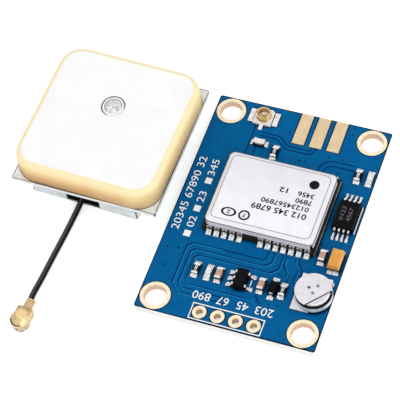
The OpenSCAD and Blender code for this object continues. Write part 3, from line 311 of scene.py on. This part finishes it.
# Reflowed solder, with a slightly frosted skin, painted shade in its hollows and a painted dark reflection where it
# stands upright
solder = finish("reflowed_solder", "FDFDFD", "A2A2A6", 0.26, 0.05, 0.32, rough_by=0.12, metal=0.4, bump_mm=0.015,
                looks=[shaded("101014", 0.4, 0.25, 0.62), painted_upright_dark("0B0B0E", 0.88)])
# White epoxy print
print_white = finish("white_epoxy_print", "FFFFFF", "EFF3F5", 0.3, 0.04, 0.6, bump_mm=0.003)
# Black laser print on the module's cover
print_black = finish("black_print", "0B0B0D", "1A1A1D", 0.3, 0.04, 0.7, bump_mm=0.003, Specular_IOR_Level=0.1)
# Faint laser marking on black parts
print_faint = finish("faint_laser_marking", "68666B", "424046", 0.2, 0.03, 0.7, bump_mm=0.003)
# The module's own dark laminate: fine layers, and a pale band low on its right side as a painted highlight
module_laminate = finish("dark_module_laminate", "1C1712", "0C0A08", 0.4, 0.05, 0.6, Specular_IOR_Level=0.2,
                         looks=[layered("4A3824", 0.2, 0.3),
                                foot_along_x("B9B2A8", 1.66, 1.72, 8.15, 8.2, 0, 0.75)])
# Satin nickel silver cover: a pale top, painted shade on its rim and sides, and a painted shadow along its foot
shield = finish("satin_nickel_cover", "F1F0F6", "EBEAF1", 2.2, 0.08, 0.45, rough_by=0.06, metal=0.15, bump_mm=0.002,
                stretch=(1, 4, 4), Specular_IOR_Level=0.3,
                looks=[by_height("E2DFDE", 3.57, 3.59, 0.35), by_height("1A1716", 2.06, 2.18, 0.9)])
# Painted shade: the same sheet darker in the crease round the cover's top
crease_shade_grey = finish("painted_crease_shade", "7E7B81", "9B989D", 0.5, 0.05, 0.5, metal=0.1, bump_mm=0.003)
# Painted shade: the same sheet darker still on the cover's shoulder
crease_shade_dark = finish("painted_shoulder_shade", "46434A", "6A676E", 0.5, 0.05, 0.5, metal=0.1, bump_mm=0.003)
# Black moulding compound
black_mould = finish("black_moulding_compound", "08080A", "111114", 0.35, 0.04, 0.6, bump_mm=0.006,
                     Specular_IOR_Level=0.06, looks=[speckled("1E1F24", 0.08, 0.6, 0.8)])
# Barium titanate of the chip capacitors
capacitor_tan = finish("capacitor_ceramic", "D9B096", "C4967C", 0.3, 0.04, 0.5,
                       looks=[layered("A67B64", 0.12, 0.3)])
# White plastic of the socket's base
plastic_white = finish("white_lcp_plastic", "F9F3F1", "EADFDC", 0.4, 0.05, 0.5)
# Pale ceramic of the coil, with painted shade low on its sides
coil_white = finish("coil_ceramic", "FBF7F5", "DAD3CF", 0.25, 0.04, 0.45, looks=[by_height("4A3A33", 1.45, 1.75)])
# Black glass over the resistors
resistor_black = finish("resistor_glass_black", "060607", "101012", 0.2, 0.03, 0.4, bump_mm=0.003,
                        Specular_IOR_Level=0.15)
# White base of the lamps
lamp_white = finish("lamp_base_laminate", "F8F6F0", "E2DECF", 0.2, 0.03, 0.5)
# Clear resin of the lamps, with a faint green cast
resin = finish("clear_lamp_resin", "FCFDFA", "EFF4EC", 0.3, 0.05, 0.15, rough_by=0.05, bump_mm=0.002,
               Transmission_Weight=0.15, IOR=1.5)
# Amber moulding of the tantalum capacitor, browner on its lower half as painted shade
amber_mould = finish("amber_moulding_compound", "E9AA52", "DB9440", 0.45, 0.05, 0.45, bump_mm=0.006,
                     Specular_IOR_Level=0.3, looks=[by_height("B87833", 1.9, 2.5, 0.8)])
# Brushed steel of the backup cell's tabs, with painted shade in its corners
cell_steel = finish("brushed_cell_steel", "E6E3E7", "DAD7DC", 0.6, 0.035, 0.4, rough_by=0.1, metal=0.3,
                    bump_mm=0.003, stretch=(1, 12, 1), looks=[shaded("0C0C10", 0.35, 0.15, 0.6)])
# Pressed steel of the cell's inner cap, dark where the tab hides it from the light
cap_steel = finish("pressed_cell_cap", "DEDCE0", "CFCDD2", 0.6, 0.035, 0.4, metal=0.3, bump_mm=0.003,
                   looks=[by_height("0A0A0C", 2.52, 2.62)])
# Rolled steel of the cell's outer can: greyer in bands, and a painted shadow up under the tab
can_steel = finish("rolled_cell_can", "E3EDF5", "B4BFC8", 1.1, 0.05, 0.35, metal=0.3, bump_mm=0.003,
                   looks=[by_height("08080A", 2.17, 2.28, 0, 1)])
# Black seal of the backup cell
rubber = finish("black_seal", "060606", "101010", 0.3, 0.04, 0.75, bump_mm=0.006, Specular_IOR_Level=0.1)
# Fired cream ceramic of the antenna: a painted highlight over its round top edge, and painted shade below it, more so
# on the near side
ceramic = finish("fired_antenna_ceramic", "F9DDA0", "F4D595", 2.5, 0.09, 0.42, Specular_IOR_Level=0.3,
                 looks=[foot_along_x("EABA7A", 5.9, 7.2, -18.5, -15.5, 1, 0.2),
                        by_height("FFF1C6", 6.9, 7.7, 0, 0.7)])
# Matt fired silver of the patch
silver_film = finish("fired_silver_film", "FDFDFD", "F8F8F9", 3.5, 0.05, 0.6, metal=0.05, bump_mm=0.002,
                     Specular_IOR_Level=0.15)
# Flux and the dark rim round the feed pin's solder; grey burnt metal on the cell's welds
flux = finish("flux_rim", "3E3E43", "8E8E92", 0.5, 0.05, 0.45, bump_mm=0.006, Specular_IOR_Level=0.2,
              looks=[by_distance("EDEDEE", FEED, 1.2, 2.0, 0.9, 0)])
# Solder dome on the feed pin
dome_solder = finish("dome_solder", "F6F6F7", "B9B9BC", 0.36, 0.09, 0.4, rough_by=0.15, metal=0.2, bump_mm=0.04,
                     looks=[speckled("5A5A60", 0.3, 0.6, 0.72)])
# Black adhesive film under the ceramic; its black also paints the shadow line under the ceramic's edge
film_black = finish("adhesive_film", "0B0A09", "171411", 0.5, 0.06, 0.6)
# The antenna's own pale laminate: tinned over, with a dark line round its edge and painted shade beside the parts on
# it
antenna_laminate = finish("tinned_antenna_laminate", "F4F6F5", "D9DCDB", 0.7, 0.06, 0.45, metal=0.05, bump_mm=0.006,
                          looks=[edged("3A3634", ANTENNA_AT, ANTENNA_TURN, ANTENNA_HALF, 0.16, 0.9),
                                 shaded("14110E", 0.35, 0.45, 0.8)])
# Satin tinned sheet of the antenna's can
can_sheet = finish("satin_tinned_sheet", "DDE2E2", "C2C9CA", 1.2, 0.06, 0.42, metal=0.3, bump_mm=0.003,
                   stretch=(1, 1, 5), looks=[dark_inside_can])
# Black fluoropolymer jacket of the lead, with a painted highlight along its top
jacket = finish("black_lead_jacket", "020203", "08080A", 0.4, 0.05, 0.45, Specular_IOR_Level=0.12,
                looks=[by_slope("4A4750", 0.86, 0.99, 0, 1)])
# Orange-brown heat-marked disc on the plug
plug_tan = finish("heat_tinted_gold", "F3C78E", "E9D098", 0.4, 0.05, 0.4, metal=0.1)
# Dark line where the plug's cap was rolled over
plug_line = finish("rolled_edge_line", "1E1408", "3A2A14", 0.3, 0.05, 0.5)
# White plastic inside the plug, unlit through its slots
plug_plastic = finish("white_plug_plastic", "F4EEEA", "E4DAD6", 0.4, 0.05, 0.5,
                      looks=[shaded("080605", 0.8, 0.4, 0.95)])

node_finish = {
    lacquer: ["solder_mask"],
    laminate: ["circuit_board"],
    gold_ring: ["mounting_hole_plating", "header_hole_plating"],
    gold_pad: ["edge_pads"],
    gold_bright: ["plug_shell", "plug_contact"],
    gold_socket: ["socket_shell"],
    gold_pin: ["socket_pin"],
    gold_contact: ["module_contacts"],
    tin: ["coil_ends", "resistor_ends", "capacitor_ends", "lamp_ends", "regulator_legs", "memory_chip_legs",
          "diode_leads", "tantalum_terminals"],
    solder: ["solder_joints", "module_solder"],
    print_white: ["board_print"],
    module_laminate: ["module_board"],
    shield: ["module_shield", "module_crystal"],
    black_mould: ["receiver_chip", "module_amplifier", "regulator_body", "memory_chip_body", "diode_body",
                  "antenna_amplifier"],
    capacitor_tan: ["input_capacitor", "output_capacitor", "memory_capacitor", "module_filter", "antenna_filter"],
    plastic_white: ["socket_base"],
    plug_plastic: ["plug_insulator"],
    coil_white: ["aerial_coil"],
    resistor_black: ["aerial_resistor", "fix_lamp_resistor", "power_lamp_resistor", "data_resistor"],
    lamp_white: ["fix_lamp_base", "power_lamp_base"],
    resin: ["fix_lamp_lens", "power_lamp_lens"],
    amber_mould: ["tantalum_body"],
    cell_steel: ["cell_top_tab", "cell_bottom_tab"],
    cap_steel: ["cell_cap"],
    can_steel: ["cell_can"],
    rubber: ["cell_gasket"],
    ceramic: ["antenna_ceramic"],
    silver_film: ["antenna_patch"],
    dome_solder: ["antenna_feed_pin"],
    film_black: ["antenna_film"],
    antenna_laminate: ["antenna_board"],
    can_sheet: ["antenna_can"],
    jacket: ["antenna_lead"],
}
for mat, names in node_finish.items():
    for name in names:
        mesh = nodes[name].data
        if not mesh.materials:
            mesh.materials.append(mat)
        for i in range(len(mesh.materials)):
            mesh.materials[i] = mat


# ---------------------------------------------------------------- pieces
def piece_of(bm, name, mat, crease=35, replaces=()):
    """A finished piece from a bmesh in mm: normals, shading, material and body."""
    bmesh.ops.scale(bm, vec=(MM, MM, MM), verts=bm.verts)
    bmesh.ops.recalc_face_normals(bm, faces=bm.faces)
    mesh = bpy.data.meshes.new(name)
    bm.to_mesh(mesh)
    bm.free()
    mesh.materials.append(mat)
    mesh.shade_smooth()
    mesh.set_sharp_from_angle(angle=math.radians(crease))
    piece = bpy.data.objects.new(name, mesh)
    scene.collection.objects.link(piece)
    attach(piece, BODY)
    if replaces:
        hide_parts(*replaces)


def smoothed(node, mat, crease):
    """The same solid as a CAD node, merged and with smooth shading across its round faces."""
    bm = bmesh.new()
    bm.from_mesh(nodes[node].data)
    bmesh.ops.scale(bm, vec=(1 / MM,) * 3, verts=bm.verts)
    bmesh.ops.remove_doubles(bm, verts=bm.verts, dist=MERGE)
    piece_of(bm, node + "_smooth", mat, crease, [node])


def moved(x, y, z, turn=0.0, tilt=0.0):
    """A place in mm, turned about Z and tilted about its own X, in degrees."""
    turned = Matrix.Translation((x, y, z)) @ Matrix.Rotation(math.radians(turn), 4, "Z")
    return turned @ Matrix.Rotation(math.radians(tilt), 4, "X")


def disc(bm, at, radius, height, edge, segments=40):
    """A low disc with a round upper edge, standing on its place."""
    made = bmesh.ops.create_cone(bm, cap_ends=True, segments=segments, radius1=radius, radius2=radius, depth=height,
                                 matrix=at @ Matrix.Translation((0, 0, height / 2)))
    top = at @ Vector((0, 0, height))
    up = at.to_3x3() @ Vector((0, 0, 1))
    rim = [e for e in {e for v in made["verts"] for e in v.link_edges}
           if all(abs((v.co - top).dot(up)) < height * 0.01 for v in e.verts)]
    bmesh.ops.bevel(bm, geom=rim, offset=edge, segments=3, affect="EDGES", profile=0.5, material=-1)


def ring(bm, at, radius, wide, high, section=10, steps=56):
    """A ring round its place's Z axis; its section is an oval that stands on the place."""
    upright = Matrix.Diagonal((wide, 1, high, 1)) @ Matrix.Rotation(math.radians(90), 4, "X")
    made = bmesh.ops.create_circle(bm, cap_ends=False, segments=section, radius=0.5,
                                   matrix=Matrix.Translation((radius, 0, high / 2)) @ upright)
    loop = made["verts"] + list({e for v in made["verts"] for e in v.link_edges})
    before = set(bm.verts) - set(made["verts"])
    bmesh.ops.spin(bm, geom=loop, cent=(0, 0, 0), axis=(0, 0, 1), angle=2 * math.pi, steps=steps, use_merge=True)
    bmesh.ops.transform(bm, matrix=at, verts=[v for v in bm.verts if v not in before])


def mesh_of(name, curve):
    """The mesh that a text or a line makes."""
    holder = bpy.data.objects.new(name, curve)
    scene.collection.objects.link(holder)
    bpy.context.view_layer.update()
    made = bpy.data.meshes.new_from_object(holder.evaluated_get(bpy.context.evaluated_depsgraph_get()))
    bpy.data.objects.remove(holder)
    return made


def digits(name, rows, mat, thick, weight=0.0):
    """Plain numbers as thin print. Each row is (text, x, y, z, height, turn, width)."""
    bm = bmesh.new()
    for text, x, y, z, height, turn, width in rows:
        letters = bpy.data.curves.new(name, "FONT")
        letters.body = text
        letters.align_x, letters.align_y = "LEFT", "BOTTOM"
        letters.size = 1
        letters.offset = weight
        letters.extrude = 0.5
        letters.resolution_u = 3
        flat = mesh_of(name, letters)
        lows = [min(v.co[k] for v in flat.vertices) for k in (0, 1, 2)]
        highs = [max(v.co[k] for v in flat.vertices) for k in (0, 1, 2)]
        size = [high - low for low, high in zip(lows, highs)]
        middle = Vector([(low + high) / 2 for low, high in zip(lows, highs)])
        sized = Matrix.Diagonal((width / size[0], height / size[1], thick / size[2], 1))
        flat.transform(moved(x, y, z + thick / 2, turn) @ sized @ Matrix.Translation(-middle))
        bm.from_mesh(flat)
        bpy.data.meshes.remove(flat)
    bmesh.ops.remove_doubles(bm, verts=bm.verts, dist=MERGE)
    piece_of(bm, name, mat, 30)


def ribbons(name, routes, wide, thick, mat, closed=False):
    """Low flat lines along routes. A route is a list of places, which all lie at its first one's height."""
    bm = bmesh.new()
    for route in routes:
        line = bpy.data.curves.new(name, "CURVE")
        line.dimensions = "3D"
        line.bevel_depth = wide / 2
        line.bevel_resolution = 2
        line.use_fill_caps = True
        spline = line.splines.new("POLY")
        spline.points.add(len(route) - 1)
        for point, at in zip(spline.points, route):
            point.co = (at[0], at[1], 0, 1)
        spline.use_cyclic_u = closed
        tube = mesh_of(name, line)
        tube.transform(Matrix.Translation((0, 0, route[0][2])) @ Matrix.Diagonal((1, 1, thick / wide, 1)))
        bm.from_mesh(tube)
        bpy.data.meshes.remove(tube)
    bmesh.ops.remove_doubles(bm, verts=bm.verts, dist=MERGE)
    piece_of(bm, name, mat, 60)


def round_corners(centre, half, radius, z, steps=6):
    """Places along a rectangle with round corners, counted anticlockwise."""
    at = moved(*centre, z)
    places = []
    for k, (sx, sy) in enumerate(((1, 1), (-1, 1), (-1, -1), (1, -1))):
        for i in range(steps + 1):
            a = math.radians(90 * k + 90 * i / steps)
            places.append(tuple(at @ Vector((sx * (half[0] - radius) + radius * math.cos(a),
                                             sy * (half[1] - radius) + radius * math.sin(a), 0))))
    return places


# Round forms are shaded smoothly
for node, slot, mat, crease in (
        ("antenna_ceramic", "antenna_ceramic", ceramic, 40), ("antenna_feed_pin", "solder", dome_solder, 50),
        ("antenna_lead", "lead_jacket", jacket, 60), ("module_shield", "shield_sheet", shield, 28),
        ("plug_shell", "gold_plate", gold_bright, 30), ("socket_shell", "gold_plate", gold_socket, 30),
        ("solder_joints", "solder", solder, 40), ("module_solder", "solder", solder, 40),
        ("mounting_hole_plating", "gold_plate", gold_ring, 30), ("header_hole_plating", "gold_plate", gold_ring, 30)):
    smoothed(node, mat, crease)

# Painted shade: dark rims in the gaps round the holes' and pads' copper, and along the board's own edge
bm = bmesh.new()
for x, y in MOUNT_HOLES:
    ring(bm, moved(x, y, RIM_Z), MOUNT_RIM_R, 0.18, 0.018, 6, 64)
for x, y in HEADER_HOLES:
    ring(bm, moved(x, y, RIM_Z), HEADER_RIM_R, 0.17, 0.018, 6, 40)
piece_of(bm, "painted_hole_rim_shade", rim_shade_finish)
pad_rim_shade = [[(middle - PAD_HALF, PAD_Y[1], BOARD_TOP), (middle - PAD_HALF, PAD_Y[0], BOARD_TOP),
             (middle + PAD_HALF, PAD_Y[0], BOARD_TOP), (middle + PAD_HALF, PAD_Y[1], BOARD_TOP)]
            for middle in PAD_MIDDLES]
ribbons("pad_rim_shade", pad_rim_shade, 0.18, 0.012, rim_shade_finish)
ribbons("painted_board_edge_shade", [round_corners((0, 0), [half - 0.08 for half in BOARD_HALF], 0.3, BOARD_TOP)],
        0.15, 0.012, rim_shade_finish, True)
near_y = 0.11 - BOARD_HALF[1]
ribbons("painted_near_edge_shade", [[(-5.2, near_y, BOARD_TOP), (BOARD_HALF[0] - 0.3, near_y, BOARD_TOP)]],
        0.22, 0.014, rim_shade_finish)

# Light lines: painted highlights beside the sunk ones, and two lighter short tracks.
# The sunk lines' places are shares of the board's width and length
board_w, board_l = (2 * half for half in BOARD_HALF)
sunk_shares = [
    [(-0.15, -0.1793), (-0.323, -0.1793), (-0.3524, -0.2), (-0.3524, -0.3613), (-0.3012, -0.3992), (-0.12, -0.3992)],
    [(0.12, -0.15), (0.12, -0.181), (0.089, -0.2031), (-0.299, -0.2031), (-0.3209, -0.2185), (-0.3209, -0.3571),
     (-0.2933, -0.3768), (-0.16, -0.3768)],
    [(0.167, -0.15), (0.167, -0.2017), (0.13, -0.2269), (-0.2717, -0.2269), (-0.2894, -0.24), (-0.2894, -0.3361),
     (-0.2638, -0.3557), (0.079, -0.3557), (0.11, -0.3745)]]
short_lines = [[(4.99, -5.4), (4.9, -5.93), (5.1, -6.59), (5.75, -7.48), (5.85, -8.3)],
               [(6.2, -5.3), (6.25, -5.75), (7.05, -6.5), (7.05, -7.1), (6.95, -8.6)]]
beside = [[(x * board_w + 0.2, y * board_l - 0.12, BOARD_TOP) for x, y in route] for route in sunk_shares]
beside += [[(x, y, BOARD_TOP) for x, y in route] for route in short_lines]
ribbons("tracks_and_painted_highlights", beside, 0.17, 0.01, track_and_highlight_lacquer)
# Painted shade: dark lines beside the sunk lines' far edges
shadows = [[(x - 0.26, y + 0.19, z) for x, y, z in route] for route in beside]
ribbons("painted_groove_shade_lines", shadows, 0.16, 0.006, groove_shade_lacquer)

# Numbers in the places of the board's lettering
column = [("20345 67890 32", -11.5, 1.1, BOARD_TOP, 1.1, 90, 12.2)]
squares = [("02", -9.6, -3.3, BOARD_TOP, 1.05, 90, 1.75), ("23", -9.6, 0.85, BOARD_TOP, 1.05, 90, 1.75),
           ("345", -9.6, 5.85, BOARD_TOP, 1.05, 90, 2.7)]
pins = [("890", -4.35, -13.95, BOARD_TOP, 1.2, 180, 2.5), ("67", -1.35, -13.95, BOARD_TOP, 1.2, 180, 1.6),
        ("45", 1.45, -13.95, BOARD_TOP, 1.2, 180, 1.6), ("203", 4.5, -13.95, BOARD_TOP, 1.2, 180, 2.5)]
digits("board_numbers", column + squares + pins, print_white, 0.03)

# Numbers, dot and two plain rings on the module's cover
digits("cover_numbers", [
    ("12", 1.6, 3.55, COVER_TOP, 0.8, 180, 1.2), ("3456", 4.8, 3.55, COVER_TOP, 0.8, 180, 2.3),
    ("7890", 4.8, 2.45, COVER_TOP, 0.8, 180, 2.3), ("01234567890", 2.5, 1.35, COVER_TOP, 0.8, 180, 6.8),
    ("012 345 6789", 2.0, 0.15, COVER_TOP, 0.95, 180, 7.8),
    ("2", *COVER_RINGS[0], COVER_TOP, 0.6, 180, 0.5), ("7", *COVER_RINGS[1], COVER_TOP, 0.6, 180, 0.5)],
    print_black, 0.01, 0.02)
bm = bmesh.new()
disc(bm, moved(5.39, 5.43, COVER_TOP), 0.7, 0.02, 0.006)
ring(bm, moved(*COVER_RINGS[0], COVER_TOP) @ Matrix.Diagonal((1.4, 0.9, 1, 1)), 0.66, 0.24, 0.02)
ring(bm, moved(*COVER_RINGS[1], COVER_TOP), 0.68, 0.26, 0.02)
piece_of(bm, "cover_dot_and_rings", print_black)

# Painted shade: dark lines in the creases above and below the cover's sloping rim
top_crease = round_corners(COVER_AT, [half - COVER_RIM for half in COVER_HALF], COVER_CORNER, COVER_TOP - 0.01)
ribbons("painted_cover_crease_shade", [top_crease], 0.11, 0.04, crease_shade_grey, True)
shoulder = round_corners(COVER_AT, [half + 0.01 for half in COVER_HALF], COVER_CORNER, COVER_TOP - COVER_RIM_DROP)
ribbons("painted_cover_shoulder_shade", [shoulder], 0.13, 0.1, crease_shade_dark, True)

# Seams between the socket's white base and its side terminals
seam_x, seam_y, seam_z = SOCKET_SEAM
seams = [[(SOCKET[0] + x, SOCKET[1] + y, BOARD_TOP + seam_z) for y in (-seam_y, seam_y)] for x in (-seam_x, seam_x)]
ribbons("socket_seams", seams, 0.13, 0.04, rubber)

# Faint numbers on the memory chip, and white ones on the four resistors
digits("chip_numbers", [(text, x, 2.95, CHIP_TOP, 0.6, 90, 2.2) for text, x in (("0123", 10.1), ("4567", 11.1))],
       print_faint, 0.008, 0.01)
resistors = [(-2.2, 10.4), (10.15, 9.75), (-6.42, -10.32), (5.86, -10.32)]
digits("resistor_numbers", [("100", x, y, RESISTOR_TOP, 0.4, 90, 0.85) for x, y in resistors],
       print_white, 0.012, 0.02)

# Rim of flux round the antenna's feed pin
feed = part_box("antenna_feed_pin")
feed_x, feed_y = ((feed[0][k] + feed[1][k]) / 2 / MM for k in (0, 1))
bm = bmesh.new()
ring(bm, moved(feed_x, feed_y, PATCH_TOP), 1.62, 0.2, 0.05)
ring(bm, moved(feed_x, feed_y, PATCH_TOP), 1.2, 0.12, 0.03)
piece_of(bm, "feed_rim", flux)

# Three weld marks on the cell's top tab
bm = bmesh.new()
tab_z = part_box("cell_top_tab")[1][2] / MM
for x, y in ((9.45, -9.7), (10.55, -9.2), (10.2, -10.4)):
    ring(bm, moved(x, y, tab_z), 0.17, 0.1, 0.03, 8, 24)
    disc(bm, moved(x, y, tab_z), 0.1, 0.012, 0.004, 20)
piece_of(bm, "cell_weld_marks", flux)

# Dark line along the straight cut of the top tab
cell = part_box("cell_can")
cell_x, cell_y = ((cell[0][k] + cell[1][k]) / 2 / MM for k in (0, 1))
cut = moved(cell_x, cell_y, tab_z - 0.15, TAB_CUT_TURN)
cut_ends = [tuple(cut @ Vector((x, -1.35, 0))) for x in (-1.95, 1.95)]
ribbons("tab_cut_line", [cut_ends], 0.13, 0.1, rubber)

# Tinted disc, rolled edge and crimp ridges on the plug
plug = moved(*PLUG_AT, PLUG_TURN)
bm = bmesh.new()
disc(bm, plug @ moved(0, 0.69, 1.8), 0.78, 0.03, 0.01)
piece_of(bm, "plug_disc", plug_tan)
front = [tuple(plug @ Vector((1.17 * math.cos(math.radians(a)), 1.17 * math.sin(math.radians(a)), 1.66)))
         for a in range(198, 312, 6)]
ribbons("plug_rolled_edge", [front], 0.13, 0.06, plug_line)
bm = bmesh.new()
for k in range(4):
    ring(bm, plug @ moved(0, 2.1 + 0.34 * k, 0.94, 0, -90), 0.6, 0.14, 0.14, 8, 40)
piece_of(bm, "crimp_ridges", gold_bright)


# ---------------------------------------------------------------- floor and light
def ray_share(tree):
    """1 for camera, glossy and transmission rays, and 0 for the rest."""
    rays = add(tree, "LightPath")
    total = rays.outputs["Is Camera Ray"]
    for key in ("Is Glossy Ray", "Is Transmission Ray"):
        total = add(tree, "Math", {0: total, 1: rays.outputs[key]}, operation="MAXIMUM").outputs[0]
    return total


bm = bmesh.new()
bmesh.ops.create_grid(bm, x_segments=2, y_segments=2, size=3.0)
floor_mesh = bpy.data.meshes.new("floor")
bm.to_mesh(floor_mesh)
bm.free()
floor = bpy.data.objects.new("floor", floor_mesh)
scene.collection.objects.link(floor)
# Pale matt studio floor
pale = bpy.data.materials.new("pale_floor")
pale.use_nodes = True
tree = pale.node_tree
shader = tree.nodes["Principled BSDF"]
shader.inputs["Base Color"].default_value = linear("F2F2F2")
shader.inputs["Roughness"].default_value = 0.9
shader.inputs["Specular IOR Level"].default_value = 0.1
strength = add(tree, "Math", {0: ray_share(tree), 1: FLOOR_GLOW}, operation="MULTIPLY").outputs[0]
glow = add(tree, "Emission", {"Color": (1, 1, 1, 1), "Strength": strength})
both = add(tree, "AddShader", {0: shader.outputs[0], 1: glow.outputs[0]})
tree.links.new(both.outputs[0], tree.nodes["Material Output"].inputs[0])
floor_mesh.materials.append(pale)

world = bpy.data.worlds.new("studio")
scene.world = world
world.use_nodes = True
tree = world.node_tree
dim = tree.nodes["Background"]
dim.inputs["Color"].default_value = (1, 1, 1, 1)
dim.inputs["Strength"].default_value = WORLD_LIGHT
white = add(tree, "Background", {"Color": (1, 1, 1, 1), "Strength": WORLD_GLOW})
both = add(tree, "MixShader", {0: ray_share(tree), 1: dim.outputs[0], 2: white.outputs[0]})
tree.links.new(both.outputs[0], tree.nodes["World Output"].inputs[0])


def lamp(name, at, size, power):
    """A square soft light aimed at the object's middle."""
    light = bpy.data.lights.new(name, "AREA")
    light.size, light.energy = size, power
    holder = bpy.data.objects.new(name, light)
    scene.collection.objects.link(holder)
    place = Vector(at)
    aim = (place - Vector(LAMPS_AIM)).to_track_quat("Z", "Y")
    holder.matrix_world = Matrix.Translation(place) @ aim.to_matrix().to_4x4()


# The key from the near right, a fill from the left, and a low one for the sides on the right
lamp("key_light", (0.36, -0.48, 0.50), 0.45, 2.0)
lamp("fill_light", (-0.40, 0.0, 0.58), 0.5, 0.8)
lamp("side_light", (0.62, 0.05, 0.10), 0.4, 1.1)
